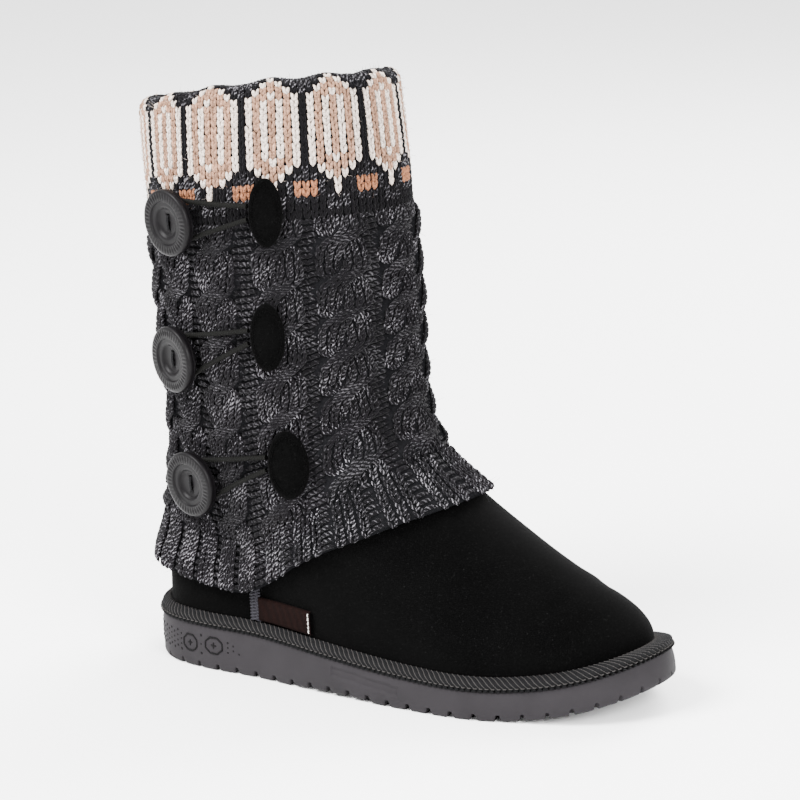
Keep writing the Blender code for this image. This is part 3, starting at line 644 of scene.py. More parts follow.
class Finish:
    """A material and the nodes that make it."""

    def __init__(self, name, **constants):
        self.material = bpy.data.materials.new(name)
        self.material.use_nodes = True
        self.tree = self.material.node_tree
        self.shader = self.tree.nodes["Principled BSDF"]
        for slot, value in constants.items():
            feed(self.tree, self.shader.inputs[slot.replace("_", " ")], value)

    def node(self, kind, settings=None, output=0, **inputs):
        made = self.tree.nodes.new(kind)
        for setting, value in (settings or {}).items():
            setattr(made, setting, value)
        for slot, value in inputs.items():
            feed(self.tree, made.inputs[slot.replace("_", " ")], value)
        return Value(self.tree, made.outputs[output])

    def place(self):
        return self.node("ShaderNodeTexCoord", output="Object")

    def attribute(self, name, output="Vector"):
        return self.node("ShaderNodeAttribute", {"attribute_name": name}, output)

    def parts(self, vector):
        split = self.tree.nodes.new("ShaderNodeSeparateXYZ")
        feed(self.tree, split.inputs[0], vector)
        return [Value(self.tree, output) for output in split.outputs]

    def noise(self, scale, detail=2.0, roughness=0.5):
        inputs = {"Vector": self.place(), "Scale": scale, "Detail": detail, "Roughness": roughness}
        return self.node("ShaderNodeTexNoise", **inputs)

    def cells(self, scale):
        return self.node("ShaderNodeTexVoronoi", Vector=self.place(), Scale=scale)

    def mix(self, factor, first, second):
        made = self.tree.nodes.new("ShaderNodeMix")
        made.data_type = "RGBA"
        feed(self.tree, made.inputs["Factor"], factor)
        colors = [each for each in made.inputs if each.type == "RGBA"]
        for slot, value in zip(colors, (first, second)):
            feed(self.tree, slot, value)
        return Value(self.tree, next(each for each in made.outputs if each.type == "RGBA"))

    def set(self, **values):
        for slot, value in values.items():
            feed(self.tree, self.shader.inputs[slot.replace("_", " ")], value)
        return self

    def bump(self, height, distance, strength=1.0, over=None):
        inputs = {"Height": height, "Distance": distance, "Strength": strength}
        if over is not None:
            inputs["Normal"] = over
        return self.node("ShaderNodeBump", **inputs)


def yarn_finish(settings):
    """Twisted yarn. A point carries its colour, and how marled it is, lowered as painted shade in the gutters
    and along the cables; marl shows a dark and a light ply.
    """
    finish = Finish(
        "knit yarn", Roughness=1.0, Sheen_Weight=0.02, Sheen_Roughness=0.6, Specular_IOR_Level=0.04
    )
    color = finish.attribute("yarn_color", "Color")
    marl = finish.attribute("yarn_color", "Alpha")
    along, around, seed = finish.parts(finish.attribute("yarn_place"))
    twist = (around * 2 + along * 520 + seed * 7.3).wave()
    ply = (around * 2 + along * 430 + seed * 3.1).wave()
    blotch = finish.noise(1100, 3, 0.65)
    cloud = finish.noise(70, 2, 0.5)
    light = (ply * 0.42 + blotch * 1.1 + cloud * 0.6 - 0.87).between(0.28, 0.50)
    strength = ((seed * 91.7).math("FRACT") * 0.75 + 0.25) * light
    marled = finish.mix(strength, tuple(settings.marl_dark), tuple(settings.marl_light))
    hairs = finish.noise(2600, 3, 0.7)
    heather = finish.mix(blotch.between(0.42, 0.60) * 0.75, color, finish.mix(0.68, color, (0.0, 0.0, 0.0)))
    shade = finish.mix(marl, heather, marled)
    worn = finish.mix(hairs.between(0.35, 0.75) * 0.35, shade, finish.mix(0.5, shade, (0.0, 0.0, 0.0)))
    relief = twist * 0.6 + hairs * 0.8
    return finish.set(Base_Color=worn, Normal=finish.bump(relief, 0.00022, 0.8)).material


def shaded_backing_finish():
    finish = Finish("knit backing", Roughness=1.0, Specular_IOR_Level=0.0)
    # Near black all over, under the cream and tan stitches too: between the stitches this is painted shade,
    # and under the binding's cords it is also the tape's own dark.
    shade = finish.mix(finish.noise(900, 2), (0.0015, 0.0015, 0.0017), (0.0065, 0.0065, 0.0072))
    return finish.set(Base_Color=shade, Normal=finish.bump(finish.noise(1500, 2), 0.0002)).material


def suede_finish(settings):
    finish = Finish("napped suede", Sheen_Weight=0.008, Sheen_Roughness=0.5, Specular_IOR_Level=0.01)
    nap = finish.noise(2400, 4, 0.75)
    brushed = finish.noise(38, 3, 0.55)
    speck_highlight = finish.noise(900, 2, 0.8).between(0.60, 0.82)
    base = tuple(settings.suede)
    lighter = tuple(0.004 + share for share in base)
    darker = times(base, 0.45)
    # Painted sheen and highlights of the nap: the brushed zones, the lighter nap flecks and the specks are
    # laid by noise over the black suede.
    shade = finish.mix(brushed.between(0.3, 0.75), darker, base)
    shade = finish.mix(nap.between(0.45, 0.8) * 0.5, shade, lighter)
    shade = finish.mix(speck_highlight * 0.35, shade, tuple(0.012 + share for share in base))
    fine = finish.bump(nap, 0.00016, 0.9)
    return finish.set(
        Base_Color=shade, Roughness=0.86 + brushed * 0.14, Normal=finish.bump(brushed, 0.0006, 0.35, fine)
    ).material


def lining_finish():
    finish = Finish("fleece lining", Roughness=1.0, Sheen_Weight=0.4, Specular_IOR_Level=0.1)
    curl = finish.cells(420)
    shade = finish.mix(curl.between(0.1, 0.7), (0.16, 0.15, 0.14), (0.05, 0.047, 0.045))
    tufts = finish.bump(curl + finish.noise(1400, 3) * 0.6, 0.0009)
    return finish.set(Base_Color=shade, Normal=tufts).material


def foam_finish(settings):
    """Blown foam: fine pores in a slightly cloudy skin."""
    finish = Finish("foam sole", Specular_IOR_Level=0.1)
    pores = finish.cells(1500)
    cloud = finish.noise(55, 3, 0.5)
    base = tuple(settings.foam)
    shade = finish.mix(cloud.between(0.3, 0.7), times(base, 0.86), times(base, 1.1))
    # Darker in the pores: painted shade in the pits of the foam.
    shade = finish.mix(pores.between(0.0, 0.22), times(base, 0.7), shade)
    fine = finish.bump(pores.between(0.0, 0.3), 0.0001, 0.6)
    relief = finish.bump(finish.noise(300, 2), 0.0001, 0.4, fine)
    return finish.set(Base_Color=shade, Roughness=0.66 + cloud * 0.16, Normal=relief).material


def cord_finish(name, color, turns=3.0):
    """Wound thread: fine strands that run round the cord."""
    finish = Finish(name, Roughness=0.8, Specular_IOR_Level=0.08)
    along, around, seed = finish.parts(finish.attribute("yarn_place"))
    strand = (around * turns + along * 900 + seed).wave()
    wear = finish.noise(260, 2, 0.6)
    dark = times(color, 0.55)
    # Darker between the wound strands and lighter on them: painted shade and highlight of the strands'
    # relief, with random tone from the wear noise.
    shade = finish.mix(strand * 0.55 + wear * 0.45, dark, times(color, 1.25))
    return finish.set(Base_Color=shade, Normal=finish.bump(strand + wear * 0.4, 0.00012)).material


def elastic_finish(settings):
    """A round braid: two sets of strands that cross."""
    finish = Finish("braided elastic", Roughness=0.7, Specular_IOR_Level=0.06)
    along, around, _ = finish.parts(finish.attribute("yarn_place"))
    cross = (around * 4 + along * 700).wave() * (around * 4 - along * 700).wave()
    base = tuple(settings.elastic)
    # Lighter where the strands cross and darker between them: painted highlight and shade of the braid's
    # relief.
    shade = finish.mix(cross, times(base, 0.5), times(base, 1.7))
    return finish.set(Base_Color=shade, Normal=finish.bump(cross, 0.00018)).material


def button_finish(settings):
    finish = Finish("satin button", Specular_IOR_Level=0.07)
    cloud = finish.noise(160, 3, 0.6)
    grain = finish.noise(2200, 2, 0.6)
    base = tuple(settings.button)
    shade = finish.mix(cloud.between(0.3, 0.7), times(base, 0.8), times(base, 1.15))
    relief = finish.bump(grain, 0.00003, 0.6)
    return finish.set(Base_Color=shade, Roughness=0.34 + cloud * 0.16, Normal=relief).material


def tag_finish(settings):
    finish = Finish("woven tape", Roughness=0.9, Specular_IOR_Level=0.04)
    across, up, _ = finish.parts(finish.place())
    weave = (across * 1500).wave() * (up * 1500).wave()
    base = tuple(settings.tag)
    # Lighter on the threads and darker between them: painted highlight and shade of the weave.
    shade = finish.mix(weave, times(base, 0.6), times(base, 1.25))
    return finish.set(Base_Color=shade, Normal=finish.bump(weave, 0.0001)).material


# Knit


@lru_cache(maxsize=None)
def girth_table():
    """Turns against shares of the way round the collar, so that wales are evenly wide."""
    turns = np.linspace(0, 1, 721)
    run = run_along(shaft_point(turns, COLLAR_HEIGHT, OUTSIDE)[:, :2])
    return turns, run / run[-1]


def wale_turn(wale):
    """The turn of a place counted in wales from the first gap, whose middle is at half a wale."""
    turns, shares = girth_table()
    start = np.interp(FIRST_GAP_TURN, turns, shares)
    share = start + (np.asarray(wale, float) - 0.5) / WALES
    return np.interp(share % 1, shares, turns)


def rim_rise(turn, wale, height):
    """How much higher the worn, slumped cuff stands on its near side than on its far one."""
    near = 0.5 + 0.5 * np.cos(2 * pi * (turn - 0.36))
    wave = 0.0008 * np.cos(2 * pi * (np.asarray(wale) - 4.5) / REPEAT)
    share = ease((height - (collar_height(turn) - 0.075)) / 0.075)
    return (0.0078 * near - 0.0034 * (1 - near) + wave) * share


def fabric(wale, course, lift):
    """A point of the knit, and the way out of it. Courses count down from a motif's tip."""
    wale, course, lift = np.broadcast_arrays(*(np.asarray(each, float) for each in (wale, course, lift)))
    turn = wale_turn(wale)
    centre = collar_height(turn) + OUTSIDE - FOLD_RADIUS
    depth = course * COURSE - TIP_RISE
    angle = np.clip(-depth / FOLD_RADIUS, 0, pi)
    past = np.clip(-depth - pi * FOLD_RADIUS, 0, None)
    band = PATTERN_COURSES * COURSE - TIP_RISE
    below = np.clip((course - PATTERN_COURSES) / (CABLE_COURSES + RIB_COURSES), 0, 1.1)
    low = hem_height(turn)
    height = np.where(depth < 0, centre, centre - np.minimum(depth, band))
    height = height - (height - low) * np.where(course > PATTERN_COURSES, below, 0)
    face = plain_lift(turn, height)
    offset = np.where(depth < 0, OUTSIDE - FOLD_RADIUS + FOLD_RADIUS * np.cos(angle), face)
    rise = np.where(depth < 0, FOLD_RADIUS * np.sin(angle) - past, 0)
    way_out, way_up = np.cos(angle), np.sin(angle)
    point = shaft_point(turn, height, offset + lift * way_out)
    point[..., 2] += rise + lift * way_up + rim_rise(turn, wale, height)
    flat = 2 * pi * turn
    out = np.stack([-np.cos(flat) * way_out, -np.sin(flat) * way_out, way_up], axis=-1)
    return point, out


def pressed(turn, height):
    """1 where a button, loop or patch holds the knit flat."""
    girth = 2 * pi * (SHAFT_DEPTH + SHAFT_WIDTH) / 4
    held = np.zeros(np.shape(turn))
    for row in FASTENINGS:
        for centre, level, wide, high in (
            (row.button_turn, row.button_height, BUTTON_DIAMETER, BUTTON_DIAMETER),
            (row.patch_turn, row.patch_height, PATCH_WIDTH, PATCH_HEIGHT),
        ):
            across = (turn - OUTER - centre) * girth / (wide / 2)
            up = (height - level) / (high / 2)
            held = np.maximum(held, ease((1.7 - np.hypot(across, up)) / 0.6))
    return held


def repeat_place(wale):
    """A wale's place in its repeat, or in the wider one by the sleeve's seam."""
    return np.where(wale < REPEAT * REPEATS, wale % REPEAT, wale - REPEAT * REPEATS)


def crossing_phase(course):
    """Half a circle from one crossing of a cable to the next."""
    return pi * (course - PATTERN_COURSES) / (CABLE_COURSES / CROSSINGS)


def rope_middle(phase):
    """Where the middle of a cable's strand lies in its repeat."""
    return ROPE_MIDDLE + ROPE_SWING * np.tanh(SWING_HOLD * np.cos(phase)) / np.tanh(SWING_HOLD)


def rope_spread(over):
    """How wide a strand's wales are: widest where it passes over the other one."""
    return 1.10 + 0.30 * np.clip(over, 0, 1) ** 2


def rope_swell(over):
    """A strand's share of the rope's rise: most where it is the front one."""
    return 0.55 + 0.47 * np.tanh(2.0 * over) / np.tanh(2.0)


def cable_zone(course, reach):
    """1 along the cables, and down to 0 at both of their ends over some courses."""
    return ease((course - PATTERN_COURSES) / reach) * ease((CABLE_END - course) / reach)


def course_height(turn, course):
    """Height of a course: at an even pitch in the pattern, then shared out as far as the hem."""
    pattern = collar_height(turn) - (course * COURSE - TIP_RISE)
    band = collar_height(turn) - (PATTERN_COURSES * COURSE - TIP_RISE)
    below = (course - PATTERN_COURSES) / (CABLE_COURSES + RIB_COURSES)
    return np.where(course > PATTERN_COURSES, band - (band - hem_height(turn)) * below, pattern)


def ground(wale, course):
    """What the wale is at a course: 0 plain, 1 a rope, 2 a purl gutter, 3 a rib, 4 a gutter between ribs."""
    place = repeat_place(wale)
    last = np.where(wale < REPEAT * REPEATS, REPEAT, SEAM_WALES)
    gutter = (place == 0) | (place >= last - 1) | ((last == SEAM_WALES) & (place >= last - 2))
    cable = np.where(gutter, 2, 1)
    rib = np.where((place == 0) | (place == 4) | (place == 8), 4, 3)
    below = np.where(course < CABLE_END, cable, rib)
    return np.where(course < PATTERN_COURSES, 0, below)


def knit_leg(wale, course, du, dv, kind, lift, settings):
    """Points along legs. du and dv are wales and courses from a stitch's middle."""
    u, v = wale + 0.5 + du, course + 0.5 + dv
    place = repeat_place(wale)
    track = place - 1
    inside = track - np.where(track < 3, 1, 4)
    phase = crossing_phase(v) + np.where(track < 3, pi, 0)
    over = np.sin(phase)
    rope_u = wale - place + rope_middle(phase) + (inside + du) * rope_spread(over)
    rope_lift = settings.rope_rise * rope_swell(over) + 0.0004 - 0.00034 * (inside + du) ** 2
    rib_lift = np.where(kind == 3, RIB_LIFT, 0.0)
    u = np.where(kind == 1, rope_u, u + 0.5 * ease((v - PATTERN_COURSES) / 2.0))
    relief = np.where(kind == 1, rope_lift * cable_zone(v, 2.5), rib_lift)
    turn = wale_turn(u)
    held = pressed(turn, course_height(turn, v))
    relief = relief + (np.minimum(relief, PRESSED_RISE - 0.0008) - relief) * held
    return fabric(u, v, lift + relief - settings.yarn)


LEG_SHARES = np.array([0.0, 0.3, 0.7, 1.0])


def light_ply_share_with_painted_shade(wale, course, kind):
    """How strongly the light ply shows, dimmed as painted shade of the knit's relief: least in the gutters,
    and less on a cable's front strand.
    """
    phase = crossing_phase(course + 0.5) + np.where(repeat_place(wale) - 1 < 3, 0, pi)
    rope = 0.66 + 0.34 * np.clip(1.6 * np.sin(phase), -1, 1)
    return np.select([kind == 1, kind == 2, kind == 4], [rope, 0.30, 0.50], 1.0)


def yarn_legs(wales, courses, settings, rng):
    """Every visible leg of the stitches: V-shaped pairs where the knit is plain, bumps where it is purl."""
    wale, course = (each.ravel() for each in np.meshgrid(wales, courses, indexing="ij"))
    kind = ground(wale, course)
    rows = []
    for side in (-1, 1):
        knit = np.isin(kind, (0, 1, 3))
        w, c, k = wale[knit], course[knit], kind[knit]
        share = LEG_SHARES[None]
        jitter = rng.normal(0, 0.035, (len(w), 1))
        du = side * (0.05 + 0.29 * share**0.85) + jitter
        dv = 0.68 - 1.22 * share + rng.normal(0, 0.03, (len(w), 1))
        lift = 0.00045 * np.sin(pi * share) - 0.00042 + 0.0003 * share
        points, outs = knit_leg(w[:, None], c[:, None], du, dv, k[:, None], lift, settings)
        radii = settings.yarn * np.array([0.5, 1.0, 1.0, 0.55]) * rng.normal(1, 0.05, (len(w), 1))
        rows.append((points, outs, radii, w, c))
    purl = np.isin(kind, (2, 4))
    w, c, k = wale[purl], course[purl], kind[purl]
    if len(w):
        share = LEG_SHARES[None]
        du = (share - 0.5) * 1.15 + rng.normal(0, 0.04, (len(w), 1))
        dv = 0.22 - 0.42 * np.sin(pi * share) + rng.normal(0, 0.05, (len(w), 1))
        lift = 0.0007 * np.sin(pi * share) - 0.0008
        points, outs = knit_leg(w[:, None], c[:, None], du, dv, k[:, None], lift, settings)
        radii = settings.yarn * np.array([0.9, 1.36, 1.36, 0.9]) * np.ones((len(w), 1))
        rows.append((points, outs, radii, w, c))
    return [np.concatenate(each) for each in zip(*rows)]


def chart_color(wale, course, settings):
    """Colour and marl of each stitch from the chart."""
    yarns = {
        "W": (*settings.cream, 0.0),
        "T": (*settings.tan, 0.0),
        "R": (*settings.warm_tan, 0.0),
        "K": (*settings.black, 0.0),
        "G": (*settings.marl_dark, 1.0),
    }
    found = np.empty((len(wale), 4))
    found[:] = (*settings.marl_dark, 1.0)
    for i, (w, c) in enumerate(zip(wale, course)):
        column = w % REPEAT if w < REPEAT * REPEATS else SEAM_COLUMNS[int(w - REPEAT * REPEATS)]
        if 0 <= c < PATTERN_COURSES:
            mark = CHART[int(c)][int(column)]
            doubled = w == REPEAT * REPEATS + SEAM_COLUMNS.index(4) + 1
            found[i] = yarns[CHART[int(c)][3] if doubled and mark == "W" else mark]
        elif -len(FOLD_CHART) <= c < 0:
            found[i] = yarns[FOLD_CHART[int(-c - 1)][int(column)]]
        elif c < 0:
            found[i] = yarns[CHART[int(min(-c - 1 - len(FOLD_CHART), len(CHART) - 1))][int(column)]]
    return found


def build_knit_piece(name, courses, settings, yarn, seed, sides):
    rng = np.random.default_rng(seed)
    centres, outs, radii, wale, course = yarn_legs(np.arange(WALES), np.arange(*courses), settings, rng)
    tube = yarn_tubes(centres, outs, radii, sides, rng.random(len(centres)))
    shade = chart_color(wale, course, settings)
    filling = np.abs(shade[:, :1] - settings.tan[0]) < 1e-6
    shade[:, :3] *= rng.normal(1, np.where(filling, 0.13, 0.05))
    # Painted shade: the light ply's share is lowered in the gutters and along the cables' strands.
    shade[:, 3] *= light_ply_share_with_painted_shade(wale, course, ground(wale, course))
    colors = np.repeat(np.clip(shade, 0, 1), centres.shape[1] * sides, axis=0)
    obj = yarn_object(name, tube, yarn, colors)


class BOOT_OT_knit(bpy.types.Operator):
    """Knit the sleeve stitch by stitch over a dark backing"""

    bl_idname = "boot.knit"
    bl_label = "Knit sleeve"

    def execute(self, context):
        settings = context.scene.boot_knit
        yarn = yarn_finish(settings)
        middle = PATTERN_COURSES + CABLE_COURSES // 2
        pieces = (
            ("knit_lip", (-LIP_COURSES, 0), 1, 4),
            ("knit_pattern", (0, PATTERN_COURSES), 2, 5),
            ("knit_cables_high", (PATTERN_COURSES, middle), 3, 5),
            ("knit_cables_low", (middle, CABLE_END), 4, 5),
            ("knit_hem", (CABLE_END, KNIT_END), 5, 5),
        )
        for name, courses, seed, sides in pieces:
            build_knit_piece(name, courses, settings, yarn, seed, sides)
        backing = build_backing(settings)
        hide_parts("knit_sleeve")
        build_fibres(settings, yarn)
        return {"FINISHED"}


def build_backing(settings):
    """The body of the knit under its stitches, from the lip over the fold to inside the hem."""
    deep = -2.1 * settings.yarn
    path = [(course, deep) for course in np.arange(-LIP_COURSES - 0.3, KNIT_END + 0.2, 0.5)]
    turned_in = ((0.35, 0.0004), (0.3, 0.0016), (-0.5, 0.0022), (-6, 0.0018))
    path += [(KNIT_END + beyond, deep - depth) for beyond, depth in turned_in]
    wales = np.arange(0, WALES, 0.5)
    course, lift = (np.array(each)[:, None] for each in zip(*path))
    place = repeat_place(wales)
    hump = np.zeros((len(path), len(wales)))
    for start in (0, pi):
        phase = crossing_phase(course) + start
        over = np.sin(phase)
        across = place[None] - rope_middle(phase)
        strand = settings.rope_rise * rope_swell(over) + 0.0006 - 0.00028 * across**2
        edge = 1.62 * rope_spread(over) + 0.25
        hump = np.maximum(hump, strand * ease((edge - np.abs(across)) / 0.5))
    rib = 0.0009 * ease((1.6 - np.abs(place % 4 - 2.5)) / 0.5)[None] * ease((course - CABLE_END) / 1.5)
    hump = hump * cable_zone(course, 2) + rib * ease((KNIT_END + 0.3 - course) / 0.6)
    turn = wale_turn(wales)[None]
    lift = lift + hump * (1 - pressed(turn, course_height(turn, course)))
    points, _ = fabric(wales[None], course, lift)
    return grid_object("knit_backing", points, shaded_backing_finish())


def build_fibres(settings, yarn):
    """Loose fibres that stand off the yarn."""
    rng = np.random.default_rng(6)
    count, sides = settings.fibres, 3
    wale = rng.uniform(0, WALES, count)
    course = rng.uniform(-3, KNIT_END, count)
    kind = np.where(course < PATTERN_COURSES, 0, 1)
    reach = rng.uniform(0.0012, 0.0034, (count, 1, 1))
    root, out = knit_leg(wale.astype(int), course, 0 * wale, 0 * wale, kind, 0 * wale, settings)
    lean = rng.normal(0, 1.0, (count, 1, 3))
    bend = rng.normal(0, 1.0, (count, 1, 3))
    way = out[:, None] * 0.5 + lean * 0.6
    way /= np.linalg.norm(way, axis=-1, keepdims=True)
    share = np.linspace(0, 1, 3)[None, :, None]
    centres = root[:, None] + (way * share + bend * 0.35 * share**2) * reach
    radii = np.array([0.00007, 0.00006, 0.00003]) * np.ones((count, 1))
    outs = np.broadcast_to(out[:, None], centres.shape)
    tube = yarn_tubes(centres, outs, radii, sides, rng.random(count))
    shade = chart_color(wale.astype(int), np.floor(course), settings)
    shade[:, :3] = shade[:, :3] * 0.8 + 0.03
    colors = np.repeat(np.clip(shade, 0, 1), centres.shape[1] * sides, axis=0)
    obj = yarn_object("knit_fibres", tube, yarn, colors)


# Foot


def grid_normals(points):
    """Outward normals of a grid whose rows run round the boot and go up."""
    around = np.roll(points, -1, axis=1) - np.roll(points, 1, axis=1)
    up = np.gradient(points, axis=0)
    normals = np.cross(around, up)
    return normals / (np.linalg.norm(normals, axis=-1, keepdims=True) + 1e-12)


FOOT_COLUMNS = 176

Crease = namedtuple("Crease", "rise turn slope length depth")
# Creases of the foot: where each one is, how it slants, its reach in turns, and its depth in shares
CREASES = (
    Crease(0.130, 0.420, 0.35, 0.060, 1.0),
    Crease(0.150, 0.400, 0.40, 0.050, 0.7),
    Crease(0.120, 0.585, -0.35, 0.060, 1.0),
    Crease(0.175, 0.370, 0.50, 0.045, 0.6),
    Crease(0.110, 0.120, -0.30, 0.050, 0.7),
    Crease(0.120, 0.880, 0.30, 0.050, 0.7),
)


def crease_depth(turn, rise, settings):
    depth = np.zeros(np.broadcast(turn, rise).shape)
    for row in CREASES:
        away = (rise - row.rise - row.slope * (turn - row.turn)) / 0.010
        reach = np.exp(-(((turn - row.turn) / row.length) ** 2))
        depth += row.depth * reach * (np.exp(-(away**2)) - 0.45 * np.exp(-((away - 1.8) ** 2)))
    return depth * settings.crease


class BOOT_OT_foot(bpy.types.Operator):
    """Suede foot and shaft with a fleece lining"""

    bl_idname = "boot.foot"
    bl_label = "Suede foot"

    def execute(self, context):
        settings = context.scene.boot_foot
        turns = np.arange(FOOT_COLUMNS) / FOOT_COLUMNS
        rises = np.concatenate([np.linspace(0, 0.45, 64), np.linspace(0.5, 1, 14)])
        outer = upper_skin(turns[None], rises[:, None])
        normals = grid_normals(outer)
        outer = outer - normals * (crease_depth(turns[None], rises[:, None], settings) + 0.00005)[..., None]
        inner = (upper_skin(turns[None], rises[:, None]) - normals * (UPPER_WALL + 0.0002))[::-1]
        inner[-1, :, 2] = outer[0, :, 2]
        points = np.concatenate([outer, inner])
        quads = grid_quads(len(points), len(turns))
        slots = np.arange(len(points) - 1).repeat(len(turns)) >= len(rises)
        base = grid_quads(2, len(turns))[:, [0, 3, 2, 1]]
        last = (len(points) - 1) * len(turns)
        base = np.where(base >= len(turns), base - len(turns) + last, base)
        quads = np.concatenate([quads, base])
        slots = np.concatenate([slots, np.zeros(len(base), bool)])
        suede, lining = suede_finish(settings), lining_finish()
        foot = mesh_object("foot", points.reshape(-1, 3), quads, suede, (), lining, slots)
        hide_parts("upper")
        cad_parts["insole"].data.materials.clear()
        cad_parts["insole"].data.materials.append(lining)
        return {"FINISHED"}


# Sole


def even_turns(count):
    """Turns that are evenly far apart along the edge of the sole."""
    fine = np.linspace(0, 1, 2881)
    run = run_along(sole_edge(fine))
    return np.interp(np.arange(count) * run[-1] / count, run, fine), run[-1]


def tread_x(x):
    return x + TOE_RAKE * ease(((x + HEEL_BACK) / SOLE_LENGTH - 0.6) / 0.4)


SOLE_COLUMNS = 1260
SEAT_INSET = 0.013  # from the edge of the sole in to the sunk seat of the foot
BAR = (0.2335, 0.2785, 0.0080, 0.0128)  # the pressed-in bar: its turns, and heights on the foam's side


def in_bar(turn, height):
    """1 inside the shallow bar pressed into the outer side of the foam."""
    start, end, low, high = BAR
    along = ease((turn - start) / 0.0012 + 0.5) * ease((end - turn) / 0.0012 + 0.5)
    middle = (low + high) / 2 - 0.0042 * (turn - (start + end) / 2) / (end - start)
    return along * ease(((high - low) / 2 - np.abs(height - middle)) / 0.0004 + 0.5)


def build_foam(settings):
    """The sole: a bevelled tread with open grooves, a side with its pressed bar, and the seat of the foot."""
    turns, perimeter = even_turns(SOLE_COLUMNS)
    places = np.sort(lug_places())
    near = np.abs((turns[:, None] - places[None] + 0.5) % 1 - 0.5).min(axis=1) * perimeter
    groove = ease((GROOVE_WIDTH / 2 + 0.00035 - near) / 0.0007)
    rings = []
    heel_end, toe_end = HEEL_WIDTH / 2 - HEEL_BACK, SOLE_LENGTH - HEEL_BACK - 0.045
    spine_x = np.clip(footprint(turns, 0.030)[:, 0], heel_end, toe_end)
    low_plan = footprint(turns, 0.0085)
    low_plan[:, 0] = tread_x(low_plan[:, 0])
    spine = np.column_stack([spine_x, np.interp(spine_x, (0, 0.2), (0, -0.002))])
    for share in np.linspace(0, 1, 15):
        plan = spine + (low_plan - spine) * share
        wave = np.sin(2 * pi * (plan[:, 0] + 0.003 * np.cos(2 * pi * plan[:, 1] / 0.022)) / 0.0085)
        channel = 0.0014 * ease(wave + 0.15) * min(1, 3 * (1 - share))
        rings.append(np.column_stack([plan, sole_bottom(plan[:, 0]) + channel]))
    for inset, lift, opened in (
        (0.0072, 0.0, 0.0), (0.0066, 0.0, 1.0), (0.0040, 0.0, 1.0), (TREAD_BEVEL, 0.0, 1.0),
        (TREAD_BEVEL * 0.35, TREAD_BEVEL * 0.35, 1.0), (0.0, TREAD_BEVEL, 1.0),
    ):
        plan = footprint(turns, inset)
        plan[:, 0] = tread_x(plan[:, 0])
        top = np.maximum(lift, GROOVE_HEIGHT * groove * opened)
        rings.append(np.column_stack([plan, sole_bottom(plan[:, 0]) + top]))
    edge = footprint(turns, 0.0)
    top = sole_top(edge[:, 0]) - SOLE_SHOULDER
    low = sole_bottom(edge[:, 0]) + GROOVE_HEIGHT + 0.0003
    for share in np.linspace(0, 1, 16):
        height = low + (top - low) * share
        sink = 0.0008 * in_bar(turns, height) - 0.0004 * np.sin(pi * share)
        plan = footprint(turns, sink)
        plan[:, 0] += (tread_x(plan[:, 0]) - plan[:, 0]) * (1 - share)
        rings.append(np.column_stack([plan, height]))
    for inset, lift in (
        (SOLE_SHOULDER * 0.35, -SOLE_SHOULDER * 0.4), (SOLE_SHOULDER, 0), (0.0095, 0), (SEAT_INSET, -0.001),
    ):
        plan = footprint(turns, inset)
        rings.append(np.column_stack([plan, sole_top(plan[:, 0]) + lift]))
    seat = footprint(turns, SEAT_INSET)
    for share in (0.6, 0.0):
        plan = spine + (seat - spine) * share
        rings.append(np.column_stack([plan, sole_top(plan[:, 0]) - 0.001]))
    foam = grid_object("sole", np.array(rings), foam_finish(settings))
    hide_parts("outsole")


def path_tube(points, radius, sides=8, outs=None, seed=0.0):
    """Points, faces and values of one open tube."""
    centres = np.asarray(points, float)[None]
    if outs is None:
        outs = np.broadcast_to(np.array([0.31, 0.23, 0.92]), centres.shape)
    radii = np.broadcast_to(np.asarray(radius, float), centres.shape[:2])
    return yarn_tubes(centres, np.asarray(outs, float).reshape(centres.shape), radii, sides, [seed])


def side_spot(turn, height, lift=0.0003):
    """Points on the side of the foam, moved out a little."""
    plan = footprint(turn, -lift)
    return np.column_stack([plan, np.broadcast_to(height, np.shape(turn))])


def build_ornament(settings):
    """Raised eight-sided outlines with a cross, and a scatter of dots, on the heel of the foam."""
    parts = []
    perimeter = float(np.linalg.norm(sole_edge(0.135) - sole_edge(0.115))) / 0.02
    for centre, height in ((0.1160, 0.0120), (0.1405, 0.0128)):
        angles = 2 * pi * (np.arange(9) + 0.5) / 8
        corners = (0.0050 * np.cos(angles), 0.0043 * np.sin(angles))
        across, up = (np.interp(np.linspace(0, 8, 49), range(9), each) for each in corners)
        ring = side_spot(centre + across / perimeter, height + up)
        parts.append(path_tube(ring, 0.00052, 6))
        for way in ((1, 0), (0, 1)):
            run = np.linspace(-0.0017, 0.0017, 9)
            bar = side_spot(centre + run * way[0] / perimeter, height + run * way[1])
            radii = 0.00052 * np.sqrt(np.clip(1 - np.linspace(-1, 1, 9) ** 4, 0.02, 1))
            parts.append(path_tube(bar, radii, 6))
    dots = [(0.1283, height) for height in (0.0078, 0.0124, 0.0168)]
    dots += [
        (0.1045 - 0.0052 * i, 0.0075 + 0.0026 * j + 0.0013 * (i % 2)) for i in range(14) for j in range(4)
    ]
    dots += [
        (0.1530 + 0.0046 * i, 0.0105 + 0.0024 * j + 0.0012 * (i % 2)) for i in range(3) for j in range(3 - i)
    ]
    for turn, height in dots:
        centre = side_spot(np.array([turn]), height, 0.0)[0]
        beyond = side_spot(np.array([turn]), height, 0.0006)[0]
        line = centre + (beyond - centre) * np.linspace(0, 1, 5)[:, None]
        parts.append(path_tube(line, 0.00088 * np.array([1, 0.97, 0.82, 0.5, 0.05]), 8))
    # Painted near black, a fifth of the foam's colour: painted shade of the moulded lines.
    finish = cord_finish("pressed lines", times(settings.foam, 0.2), 0.0)
    ornament = yarn_object("sole_ornament", join(parts), finish)


